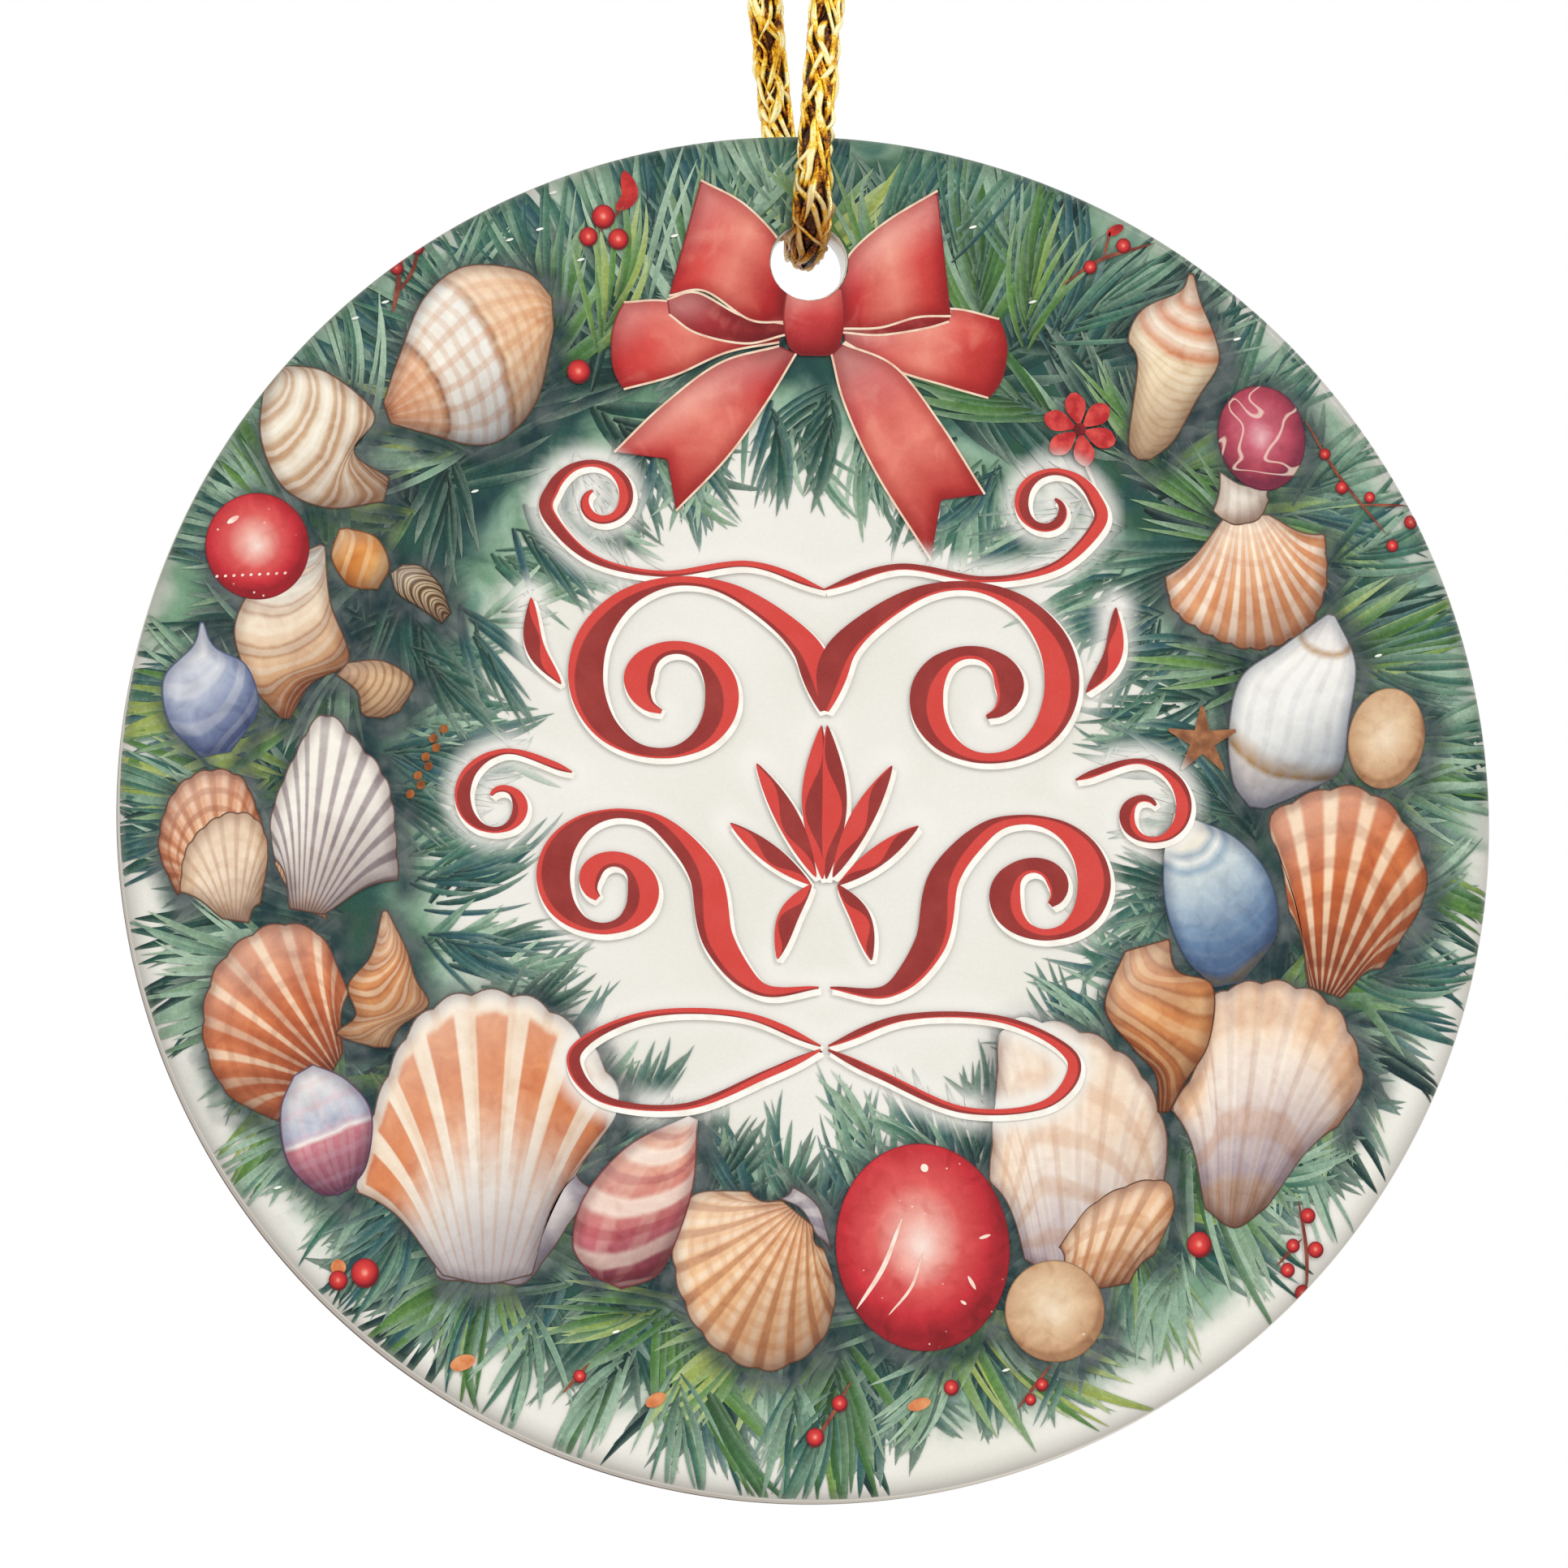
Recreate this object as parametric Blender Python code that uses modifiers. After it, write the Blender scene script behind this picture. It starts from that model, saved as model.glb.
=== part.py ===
"""Flat round ceramic ornament that hangs on a loop of gold cord.

Metres, +Z up, the printed face looks along -Y. The origin is the inside top of the loop,
right under the knot, where a hook carries the ornament. The disc hangs below it.
"""

import math

import bpy
from mathutils import Vector

COLLECTION = "hanging_ornament"

# Ceramic disc
DISC_RADIUS = 0.0365
CERAMIC_THICKNESS = 0.0026
EDGE_ROUNDING = 0.0005
REST_AREA_RADIUS = 0.024
DISC_STEPS = 96
ROUNDING_STEPS = 4

# Hole that the cord runs through
HOLE_RADIUS = 0.002
HOLE_INSET = 0.0069
HOLE_CHAMFER = 0.0005
HOLE_STEPS = 32

# Printed coating on the front face
COATING_THICKNESS = 0.0001
COATING_RADIUS = DISC_RADIUS - EDGE_ROUNDING
GAP = 0.0003

# Cord
CORD_RADIUS = 0.00085
LOOP_DROP = 0.042
BIGHT_RISE = 0.0009
BIGHT_HALF_WIDTH = 0.0026
BIGHT_SQUARENESS = 2.5
BIGHT_TOP = 0.011
STRAND_SPACING = 0.0020
BIGHT_SPACING = 0.0009

# Knot and the two tails above it
KNOT_HEIGHT = 0.0068
KNOT_HALF_WIDTH = 0.0030
KNOT_HALF_DEPTH = 0.0024
KNOT_STEPS = 24
TAIL_LENGTH = 0.0075

HOLE_Z = -LOOP_DROP
DISC_Z = HOLE_Z - (DISC_RADIUS - HOLE_INSET)
FRONT_Y = -(CERAMIC_THICKNESS / 2 + GAP + COATING_THICKNESS)
BIGHT_Y = -0.0001
PIVOT_Z = HOLE_Z + BIGHT_RISE


def make_material(name, color, roughness, metallic=0.0):
    material = bpy.data.materials.new(name)
    material.use_nodes = True
    shader = material.node_tree.nodes["Principled BSDF"]
    shader.inputs["Base Color"].default_value = (*color, 1.0)
    shader.inputs["Roughness"].default_value = roughness
    shader.inputs["Metallic"].default_value = metallic
    return material


def new_collection(name):
    collection = bpy.data.collections.new(name)
    bpy.context.scene.collection.children.link(collection)
    return collection


def clear_scene():
    for item in list(bpy.data.objects):
        bpy.data.objects.remove(item, do_unlink=True)


def make_empty(name, location, parent, collection):
    empty = bpy.data.objects.new(name, None)
    empty.empty_display_size = 0.004
    collection.objects.link(empty)
    empty.parent = parent
    empty.location = location
    return empty


def smooth_shading(item, angle_degrees=40.0):
    for polygon in item.data.polygons:
        polygon.use_smooth = True
    item.data.set_sharp_from_angle(angle=math.radians(angle_degrees))


def profile_object(name, points, steps, collection):
    """Turned shape about its own Z from (radius, height) points, listed from top to bottom."""
    mesh = bpy.data.meshes.new(name)
    edges = [(index, index + 1) for index in range(len(points) - 1)]
    mesh.from_pydata([(radius, 0.0, height) for radius, height in points], edges, [])
    item = bpy.data.objects.new(name, mesh)
    collection.objects.link(item)
    screw = item.modifiers.new("turned", "SCREW")
    screw.axis = "Z"
    screw.steps = steps
    screw.render_steps = steps
    screw.use_merge_vertices = True
    screw.merge_threshold = 0.00001
    screw.use_smooth_shade = True
    return item


def cut(item, cutter):
    boolean = item.modifiers.new("cut_" + cutter.name, "BOOLEAN")
    boolean.operation = "DIFFERENCE"
    boolean.solver = "EXACT"
    boolean.object = cutter


def disc_profile():
    """Front face at the top, rounded edge, back face with the flat area that rests on a surface."""
    half = CERAMIC_THICKNESS / 2
    centre_radius = DISC_RADIUS - EDGE_ROUNDING
    corner = [
        (
            centre_radius + EDGE_ROUNDING * math.sin(turn),
            half - EDGE_ROUNDING + EDGE_ROUNDING * math.cos(turn),
        )
        for turn in (math.pi / 2 * step / ROUNDING_STEPS for step in range(ROUNDING_STEPS + 1))
    ]
    upper = [(0.0, half), (REST_AREA_RADIUS, half)] + corner
    lower = [(radius, -height) for radius, height in reversed(upper)]
    return upper + lower


def make_hole_cutter(collection):
    """Spool along the hole: straight wall with a small flare at both faces of the ceramic."""
    half = CERAMIC_THICKNESS / 2
    reach = half + GAP
    flare = HOLE_RADIUS + HOLE_CHAMFER + GAP
    points = [
        (0.0, reach),
        (flare, reach),
        (HOLE_RADIUS, half - HOLE_CHAMFER),
        (HOLE_RADIUS, -half + HOLE_CHAMFER),
        (flare, -reach),
        (0.0, -reach),
    ]
    cutter = profile_object("hole_cutter", points, HOLE_STEPS, collection)
    cutter.hide_render = True
    cutter.display_type = "WIRE"
    return cutter


def face_forward(item, location, parent):
    """Turn a piece built along Z so that its top faces the front, -Y."""
    item.parent = parent
    item.location = location
    item.rotation_euler = (math.pi / 2, 0.0, 0.0)


def make_ceramic_disc(pivot, collection, cutters):
    disc = profile_object("ceramic_disc", disc_profile(), DISC_STEPS, collection)
    face_forward(disc, (0.0, 0.0, DISC_Z - PIVOT_Z), pivot)
    cutter = make_hole_cutter(cutters)
    face_forward(cutter, (0.0, 0.0, HOLE_Z - PIVOT_Z), pivot)
    cut(disc, cutter)
    disc.data.materials.append(make_material("white_ceramic", (0.86, 0.84, 0.79), 0.25))
    return disc


def make_printed_coating(pivot, collection, cutters):
    half = COATING_THICKNESS / 2
    points = [(0.0, half), (COATING_RADIUS, half), (COATING_RADIUS, -half), (0.0, -half)]
    coating = profile_object("printed_coating", points, DISC_STEPS, collection)
    centre_y = FRONT_Y + half
    face_forward(coating, (0.0, centre_y, DISC_Z - PIVOT_Z), pivot)
    bpy.ops.mesh.primitive_cylinder_add(
        vertices=HOLE_STEPS,
        radius=HOLE_RADIUS + HOLE_CHAMFER,
        depth=COATING_THICKNESS + 2 * GAP,
    )
    cutter = bpy.context.object
    cutter.name = "coating_hole_cutter"
    for owner in list(cutter.users_collection):
        owner.objects.unlink(cutter)
    cutters.objects.link(cutter)
    cutter.hide_render = True
    cutter.display_type = "WIRE"
    face_forward(cutter, (0.0, centre_y, HOLE_Z - PIVOT_Z), pivot)
    cut(coating, cutter)
    coating.data.materials.append(make_material("printed_picture", (0.33, 0.47, 0.42), 0.3))
    return coating


def bight_points():
    """Squared half circle from the front strand, under the hole's top edge, to the back strand."""
    count = 8
    front_x = 0.00010
    back_x = -0.00010
    top_z = PIVOT_Z + BIGHT_HALF_WIDTH
    power = 2 / BIGHT_SQUARENESS
    points = []
    for step in range(count + 1):
        turn = math.pi * step / count
        across = math.copysign(abs(math.cos(turn)) ** power, math.cos(turn))
        down = abs(math.sin(turn)) ** power
        x = front_x + (back_x - front_x) * step / count
        y = BIGHT_Y - BIGHT_HALF_WIDTH * across
        z = top_z - BIGHT_HALF_WIDTH * down
        points.append((x, y, z))
    return points


def loop_route():
    """The whole loop, from the knot down the front strand, through the hole and up the back."""
    front = [
        (0.0010, 0.0000, -0.0003),
        (0.0018, -0.0001, -0.0030),
        (0.0028, -0.0004, -0.0080),
        (0.0029, -0.0008, -0.0130),
        (0.0022, -0.0013, -0.0190),
        (0.0013, -0.0019, -0.0250),
        (0.0007, -0.0025, -0.0300),
        (0.0003, -0.0028, -0.0345),
    ]
    back = [
        (-0.0011, 0.0026, -0.0345),
        (-0.0017, 0.0021, -0.0300),
        (-0.0022, 0.0016, -0.0250),
        (-0.0027, 0.0011, -0.0190),
        (-0.0031, 0.0007, -0.0130),
        (-0.0028, 0.0003, -0.0080),
        (-0.0018, 0.0001, -0.0030),
        (-0.0010, 0.0000, -0.0003),
    ]
    return front + bight_points() + back


def tail_route(side):
    start = KNOT_HEIGHT + GAP
    return [
        (side * 0.0010, 0.0, start),
        (side * 0.0013, -0.0002, start + TAIL_LENGTH * 0.3),
        (side * 0.0020, -0.0005, start + TAIL_LENGTH * 0.65),
        (side * 0.0032, -0.0007, start + TAIL_LENGTH * 0.95),
    ]


def smooth_curve(route, per_span=24):
    """Catmull-Rom curve through the route's points, read closely."""
    points = [Vector(point) for point in route]
    first = points[0] * 2 - points[1]
    last = points[-1] * 2 - points[-2]
    padded = [first] + points + [last]
    curve = []
    for index in range(1, len(padded) - 2):
        before, start, end, after = padded[index - 1:index + 3]
        for step in range(per_span):
            t = step / per_span
            curve.append(
                0.5
                * (
                    2 * start
                    + (end - before) * t
                    + (2 * before - 5 * start + 4 * end - after) * t**2
                    + (3 * start - before - 3 * end + after) * t**3
                )
            )
    curve.append(points[-1])
    return curve


def distances_along(curve):
    distances = [0.0]
    for before, after in zip(curve, curve[1:]):
        distances.append(distances[-1] + (after - before).length)
    return distances


def point_at(curve, distances, distance):
    for index in range(1, len(curve)):
        if distances[index] >= distance:
            span = distances[index] - distances[index - 1]
            share = (distance - distances[index - 1]) / span
            return curve[index - 1].lerp(curve[index], share)
    return curve[-1]


def stretch(curve, start, end, spacing):
    """Evenly spaced points on the curve between two distances along it."""
    distances = distances_along(curve)
    count = max(2, round((end - start) / spacing) + 1)
    steps = [start + (end - start) * step / (count - 1) for step in range(count)]
    return [point_at(curve, distances, distance) for distance in steps]


def make_tube(name, points, parent, material, collection):
    """Round cord along a list of points, with its origin where its parent's joint is."""
    data = bpy.data.curves.new(name, "CURVE")
    data.dimensions = "3D"
    data.bevel_depth = CORD_RADIUS
    data.bevel_resolution = 2
    data.use_fill_caps = True
    spline = data.splines.new("POLY")
    spline.points.add(len(points) - 1)
    for target, point in zip(spline.points, points):
        target.co = (*point, 1.0)
    tube = bpy.data.objects.new(name, data)
    collection.objects.link(tube)
    tube.parent = parent
    tube.data.materials.append(material)
    return tube


def height_crossings(curve, height):
    """Distances along the curve where it passes a height on its way down and on its way up."""
    distances = distances_along(curve)
    return [
        distances[index]
        for index in range(1, len(curve))
        if (curve[index - 1].z - height) * (curve[index].z - height) < 0
    ]


def make_cord_loop(sway, twist, collection, gold):
    curve = smooth_curve(loop_route())
    total = distances_along(curve)[-1]
    going_down, coming_up = height_crossings(curve, HOLE_Z + BIGHT_TOP)
    front = stretch(curve, 0.0, going_down - GAP / 2, STRAND_SPACING)
    bight = stretch(curve, going_down + GAP / 2, coming_up - GAP / 2, BIGHT_SPACING)
    back = stretch(curve, coming_up + GAP / 2, total, STRAND_SPACING)
    make_tube("front_strand", front, sway, gold, collection)
    make_tube("cord_bight", bight, twist, gold, collection)
    make_tube("back_strand", back, sway, gold, collection)


def make_cord_tails(collection, gold):
    for name, side in (("left_tail", -1), ("right_tail", 1)):
        curve = smooth_curve(tail_route(side))
        points = stretch(curve, 0.0, distances_along(curve)[-1], STRAND_SPACING)
        make_tube(name, points, None, gold, collection)


def make_cord_knot(collection, gold):
    """Barrel of the drawn-up overhand knot, widest a little above its middle."""
    outline = [(0.0, 1.0), (0.45, 0.98), (0.78, 0.90), (0.96, 0.72), (1.0, 0.54)]
    outline += [(0.95, 0.34), (0.80, 0.14), (0.48, 0.02), (0.0, 0.0)]
    points = [(share * KNOT_HALF_WIDTH, height * KNOT_HEIGHT) for share, height in outline]
    knot = profile_object("cord_knot", points, KNOT_STEPS, collection)
    knot.scale = (1.0, KNOT_HALF_DEPTH / KNOT_HALF_WIDTH, 1.0)
    knot.data.materials.append(gold)


def build():
    clear_scene()
    parts = new_collection(COLLECTION)
    cutters = new_collection("cutters")
    gold = make_material("gold_cord", (0.80, 0.56, 0.14), 0.35, 1.0)

    make_cord_knot(parts, gold)
    make_cord_tails(parts, gold)
    sway = make_empty("loop_sway_axis", (0.0, 0.0, 0.0), None, parts)
    twist = make_empty("loop_twist_axis", (0.0, 0.0, 0.0), sway, parts)
    make_cord_loop(sway, twist, parts, gold)
    pivot = make_empty("disc_swing_axis", (0.0, 0.0, PIVOT_Z), twist, parts)
    disc = make_ceramic_disc(pivot, parts, cutters)
    coating = make_printed_coating(pivot, parts, cutters)
    for item in (disc, coating):
        smooth_shading(item)


build()
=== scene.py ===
"""Looks for the hanging disc ornament: glazed ceramic, its printed wreath and its gold cord.

Every object is in metres, in the frame of the CAD model. The picture on the disc is laid out
in millimetres from the disc's centre, +X right and +Z up, as someone who looks at it sees it.
"""

import math

import bmesh
import bpy
import numpy as np
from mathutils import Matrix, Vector
from mathutils.geometry import delaunay_2d_cdt
from mathutils.kdtree import KDTree


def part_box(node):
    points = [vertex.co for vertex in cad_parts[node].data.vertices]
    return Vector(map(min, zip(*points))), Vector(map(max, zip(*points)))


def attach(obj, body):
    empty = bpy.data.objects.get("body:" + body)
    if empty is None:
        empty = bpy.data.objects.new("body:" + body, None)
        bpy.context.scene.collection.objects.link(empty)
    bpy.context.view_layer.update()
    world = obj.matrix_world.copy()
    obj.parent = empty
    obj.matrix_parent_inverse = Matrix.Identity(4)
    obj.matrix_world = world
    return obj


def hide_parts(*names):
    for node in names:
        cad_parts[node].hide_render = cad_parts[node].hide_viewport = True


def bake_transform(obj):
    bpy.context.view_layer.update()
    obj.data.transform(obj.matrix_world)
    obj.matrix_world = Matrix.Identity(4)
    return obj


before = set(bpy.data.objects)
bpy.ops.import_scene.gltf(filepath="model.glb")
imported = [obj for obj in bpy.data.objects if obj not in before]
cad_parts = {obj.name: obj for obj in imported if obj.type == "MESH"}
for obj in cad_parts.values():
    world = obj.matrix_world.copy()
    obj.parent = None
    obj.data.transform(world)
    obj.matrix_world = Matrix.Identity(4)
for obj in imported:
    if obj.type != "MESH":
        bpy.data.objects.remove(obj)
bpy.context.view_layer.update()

MM = 0.001
MICRON = 0.000001
random = np.random.default_rng(24)

# Disc, read from the frame
DISC_LOW, DISC_HIGH = (np.array(corner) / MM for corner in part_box("ceramic_disc"))
COATING_LOW, _ = (np.array(corner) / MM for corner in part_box("printed_coating"))
DISC_RADIUS = (DISC_HIGH[0] - DISC_LOW[0]) / 2
DISC_Z = (DISC_HIGH[2] + DISC_LOW[2]) / 2
BACK_Y = DISC_HIGH[1]
FRONT_Y = COATING_LOW[1]
EDGE_ROUNDING = 0.5
GLAZE_SETBACK = 0.04
PRINT_EDGE = DISC_RADIUS - 0.04
PAINT_EDGE = DISC_RADIUS - 0.07
HOLE_Z = DISC_RADIUS - 6.9
HOLE_RADIUS = 2.0
HOLE_ROUNDING = 0.3
HOLE_SEGMENTS = 96
PRINT_HOLE_RADIUS = HOLE_RADIUS + 0.12

# Wall's dark line and painted shade: where the line runs, how softly it ends, how far in from the wall they
# show
DARK_LINE_Y = BACK_Y - 0.55
DARK_LINE_SOFTNESS = 0.20
DARK_LINE_AND_SHADE_DEPTH = 0.4

# The pale glow round the scrollwork, and painted shade that darkens the print towards the disc's edge
GLOW_START = 0.45
GLOW_REACH = 1.0
EDGE_SHADE_WIDTH = 1.5

# How far each coat of the picture stands proud of the ground, in microns, and the steps within a coat
FOLIAGE_LIFT = 8
LAYER_LIFT = 16
SHADE_LIFT = 96
SHELL_LIFT = 100
SHAPE_STEP = 2
BAUBLE_LIFT = 147
BOW_LIFT = 150
STROKE_LIFT = 162
BERRY_LIFT = 172
SCROLL_LIFT = 180
RED_ABOVE_WHITE = 12

# Cord
CORD_RADIUS = 0.85
KNOT_HEIGHT = 6.8
TAIL_LENGTH = 7.5
PIVOT_Z = -41.1

# Paint shows a little lighter and bluer than its own colour under this light
PAINT_GAIN = (0.89, 0.872, 0.82)
PAINT_DEPTH = 1.14


# ---------------------------------------------------------------- lines and grids


def smooth_line(points, count):
    """Evenly spaced points on the Catmull-Rom curve through the given ones."""
    points = np.array(points, float)
    padded = np.vstack([2 * points[0] - points[1], points, 2 * points[-1] - points[-2]])
    spans = len(points) - 1
    place = np.linspace(0, spans, 40 * spans + 1)
    index = np.minimum(place.astype(int), spans - 1)
    t = (place - index)[:, None]
    before, start, end, after = (padded[index + step] for step in range(4))
    curve = 0.5 * (
        2 * start
        + (end - before) * t
        + (2 * before - 5 * start + 4 * end - after) * t**2
        + (3 * start - before - 3 * end + after) * t**3
    )
    steps = np.linalg.norm(np.diff(curve, axis=0), axis=1)
    lengths = np.concatenate([[0], np.cumsum(steps)])
    wanted = np.linspace(0, lengths[-1], count)
    return np.stack([np.interp(wanted, lengths, column) for column in curve.T], axis=1)


def loft(first, second, rows=36, columns=48):
    """Grid of points between two smooth lines: its rows run on them, its columns from first to second."""
    low = smooth_line(first, columns)
    high = smooth_line(second, columns)
    share = np.linspace(0, 1, rows)[:, None, None]
    return low * (1 - share) + high * share


def round_grid(centre, radii, tilt=0.0, egg=0.0, rows=16, columns=64):
    """Grid over an ellipse or egg, from its middle to its rim."""
    turn = np.linspace(0, 2 * math.pi, columns)
    share = np.linspace(0.001, 1, rows)[:, None]
    x = radii[0] * share * np.cos(turn) * (1 + egg * np.sin(turn))
    z = radii[1] * share * np.sin(turn)
    lean = math.radians(tilt)
    across = x * math.cos(lean) - z * math.sin(lean)
    up = x * math.sin(lean) + z * math.cos(lean)
    return np.stack([centre[0] + across, centre[1] + up], axis=2)


def strip(line, half_widths):
    """Grid three points wide along a line, as wide as half_widths says."""
    ahead = np.gradient(line, axis=0)
    ahead /= np.linalg.norm(ahead, axis=1)[:, None] + 1e-9
    side = np.stack([-ahead[:, 1], ahead[:, 0]], axis=1) * np.asarray(half_widths)[:, None]
    return np.stack([line - side, line, line + side], axis=1)


def grid_faces(rows, columns):
    """Four-cornered faces of a grid whose points are numbered row by row."""
    corner = np.arange(rows * columns).reshape(rows, columns)
    faces = [corner[:-1, :-1], corner[:-1, 1:], corner[1:, 1:], corner[1:, :-1]]
    return np.stack(faces, axis=2).reshape(-1, 4)


def rim_distance(grid, closed):
    """Distance of each grid point from the shape's outline. A closed shape's outline is its last row."""
    flat = grid.reshape(-1, 2)
    sides = [grid[-1]] if closed else [grid[0], grid[-1], grid[:, 0], grid[:, -1]]
    outline = np.concatenate(sides)
    gaps = flat[:, None, :] - outline[None, :, :]
    return np.sqrt((gaps**2).sum(axis=2).min(axis=1))


def facing_light(grid):
    """From -1, the lower right of a shape, to 1, its upper left, where the painted light comes from."""
    flat = grid.reshape(-1, 2)
    toward = flat @ np.array([-0.5, 0.87])
    low, high = toward.min(), toward.max()
    return (2 * toward - low - high) / (high - low + 1e-9)


# ---------------------------------------------------------------- lines of the scrollwork


SCROLL_X = 0.8
SCROLLS = [
    # (line on the right of SCROLL_X, eye of the spiral it ends in, turns, thinnest and thickest half
    # width). Each has a mirrored twin on the left. A line with no eye ends where its points do.
    ([(0.0, 11.9), (4.0, 13.2), (8.6, 12.6), (12.4, 13.4), (14.7, 15.7)], (12.0, 16.5), 1.2, 0.16, 0.40),
    ([(0.0, 5.4), (1.0, 8.8), (4.4, 11.5)], (8.2, 6.5), -1.55, 0.22, 0.95),
    ([(0.3, -9.4), (3.4, -9.5), (5.6, -7.0), (6.4, -3.4), (8.6, -0.9)], (11.4, -4.1), -1.5, 0.22, 0.92),
    ([(13.4, 1.9), (16.2, 2.9)], (17.2, 0.2), -1.2, 0.14, 0.42),
    ([(0.2, -12.5), (4.4, -10.9), (9.6, -11.0), (13.2, -13.0), (11.8, -15.4), (7.4, -15.8), (3.0, -14.0),
      (0.2, -12.7)], None, 0, 0.16, 0.40),
]
LEAVES = [
    # (stem end, middle, tip, half width) on the right of SCROLL_X, each with a mirrored twin
    ((0.15, 4.6), (0.55, 0.6), (0.1, -3.6), 0.62),
    ((3.6, 2.5), (1.9, -0.5), (0.45, -3.5), 0.58),
    ((5.0, -0.7), (2.9, -2.3), (0.75, -3.9), 0.48),
    ((0.7, -3.9), (1.9, -5.6), (2.5, -7.9), 0.50),
    ((14.0, 6.6), (15.4, 8.6), (15.6, 11.2), 0.46),
]


def spiral(start, eye, turns):
    """Points that wind from start in towards the eye, each turn about a third as wide as the last."""
    count = int(abs(turns) * 12)
    share = np.linspace(0, 1, count + 1)[1:]
    x, z = start[0] - eye[0], start[1] - eye[1]
    reach = math.hypot(x, z) * 0.22**share
    turn = math.atan2(z, x) + 2 * math.pi * turns * share
    return list(zip(eye[0] + reach * np.cos(turn), eye[1] + reach * np.sin(turn)))


def scroll_lines():
    """Each line of the scrollwork as (points, side, half widths): a pen line's two, or a leaf's one."""
    lines = []
    for points, eye, turns, thin, thick in SCROLLS:
        if eye:
            points = points + spiral(points[-1], eye, turns)
        for side in (-1, 1):
            line = smooth_line([(SCROLL_X + side * x, z) for x, z in points], 220)
            lines.append((line, side, thin, thick))
    for *points, half_width in LEAVES:
        for side in (-1, 1):
            line = smooth_line([(SCROLL_X + side * x, z) for x, z in points], 60)
            lines.append((line, side, half_width, None))
    return lines


def pen_widths(line, thin, thick):
    """Half widths of a pen line, broadest where it runs up or down, or of a leaf if thick is None."""
    share = np.linspace(0, 1, len(line))
    if thick is None:
        return 0.03 + thin * np.sin(math.pi * share) ** 0.8
    ahead = np.gradient(line, axis=0)
    steep = np.abs(ahead[:, 1]) / np.linalg.norm(ahead, axis=1)
    steep = np.convolve(np.pad(steep, 8, mode="edge"), np.ones(17) / 17, mode="valid")
    ends = np.sin(math.pi * np.clip(share * 7, 0, 0.5))
    return (thin + (thick - thin) * steep**1.6) * (0.25 + 0.75 * ends * ends[::-1])


# ---------------------------------------------------------------- meshes


def surface_drop(radius):
    """How far the disc's front has curved back at a distance from its centre."""
    past = np.clip(radius - (DISC_RADIUS - EDGE_ROUNDING), 0, EDGE_ROUNDING)
    return EDGE_ROUNDING - np.sqrt(EDGE_ROUNDING**2 - past**2)


def on_disc(flat, lift, edge=PAINT_EDGE):
    """Picture points as places in space: kept on the disc, out of its hole, and lifted by microns."""
    flat = np.array(flat, float)
    radius = np.hypot(flat[:, 0], flat[:, 1])
    flat *= np.minimum(1, edge / np.maximum(radius, 1e-6))[:, None]
    from_hole = flat - [0, HOLE_Z]
    reach = np.maximum(np.hypot(from_hole[:, 0], from_hole[:, 1]), 1e-6)
    push = np.maximum(PRINT_HOLE_RADIUS / reach, 1)[:, None]
    flat = from_hole * push + [0, HOLE_Z]
    depth = surface_drop(np.minimum(radius, edge))
    height = FRONT_Y + depth - np.asarray(lift) * MICRON / MM
    return np.stack([flat[:, 0], height, flat[:, 1] + DISC_Z], axis=1) * MM


def trimmed(vertices, faces):
    """Only the faces whose middle lies outside the hole and inside the painted edge."""
    centres = vertices[faces].mean(axis=1) / MM
    from_hole = np.hypot(centres[:, 0], centres[:, 2] - DISC_Z - HOLE_Z)
    radius = np.hypot(vertices[:, 0] / MM, vertices[:, 2] / MM - DISC_Z)
    at_edge = (radius > PAINT_EDGE * 0.9999)[faces].sum(axis=1)
    return faces[(from_hole > PRINT_HOLE_RADIUS * 0.985) & (at_edge < 3)]


def facing_forward(vertices, faces):
    """The same faces, each turned so that it faces the front, -Y."""
    corners = vertices[faces][:, :, [0, 2]]
    first = corners[:, 2] - corners[:, 0]
    second = corners[:, -1] - corners[:, 1]
    backward = first[:, 0] * second[:, 1] - first[:, 1] * second[:, 0] < 0
    faces = faces.copy()
    faces[backward] = faces[backward][:, ::-1]
    return faces


def link_mesh(name, vertices, faces, material=None):
    """New object in the scene from plain lists of vertices and faces."""
    mesh = bpy.data.meshes.new(name)
    mesh.from_pydata(vertices, [], faces)
    if material:
        mesh.materials.append(material)
    thing = bpy.data.objects.new(name, mesh)
    bpy.context.scene.collection.objects.link(thing)
    return thing


def make_piece(name, vertices, faces, material, body, slot, smooth=True, **values):
    """One named piece that rides a body, with a number for each vertex under each name in values."""
    piece = link_mesh(name, vertices.tolist(), np.asarray(faces).tolist(), material)
    for key, numbers in values.items():
        layer = piece.data.attributes.new(key, "FLOAT", "POINT")
        layer.data.foreach_set("value", np.asarray(numbers, dtype=np.float32))
    if smooth:
        piece.data.shade_smooth()
    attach(piece, body)
    return piece


def near_edge(flat):
    """From 0 well inside the disc's edge to 1 at the edge."""
    return np.clip((np.hypot(flat[:, 0], flat[:, 1]) - PAINT_EDGE + EDGE_SHADE_WIDTH) / EDGE_SHADE_WIDTH, 0, 1)


def glow_at(flat):
    """How far the pale glow round the scrollwork covers each picture point, from 0 to 1."""
    gaps = np.array([SCROLL_TREE.find((x, z, 0))[2] for x, z in flat])
    return 0.95 * np.clip(1 - (gaps - GLOW_START) / GLOW_REACH, 0, 1) ** 1.2


def tree_of(lines):
    """Search tree over the points of several lines."""
    points = np.concatenate(lines)
    tree = KDTree(len(points))
    for index, (x, z) in enumerate(points):
        tree.insert((x, z, 0), index)
    tree.balance()
    return tree


SCROLL_LINES = scroll_lines()
SCROLL_TREE = tree_of([line for line, _, _, _ in SCROLL_LINES])


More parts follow.
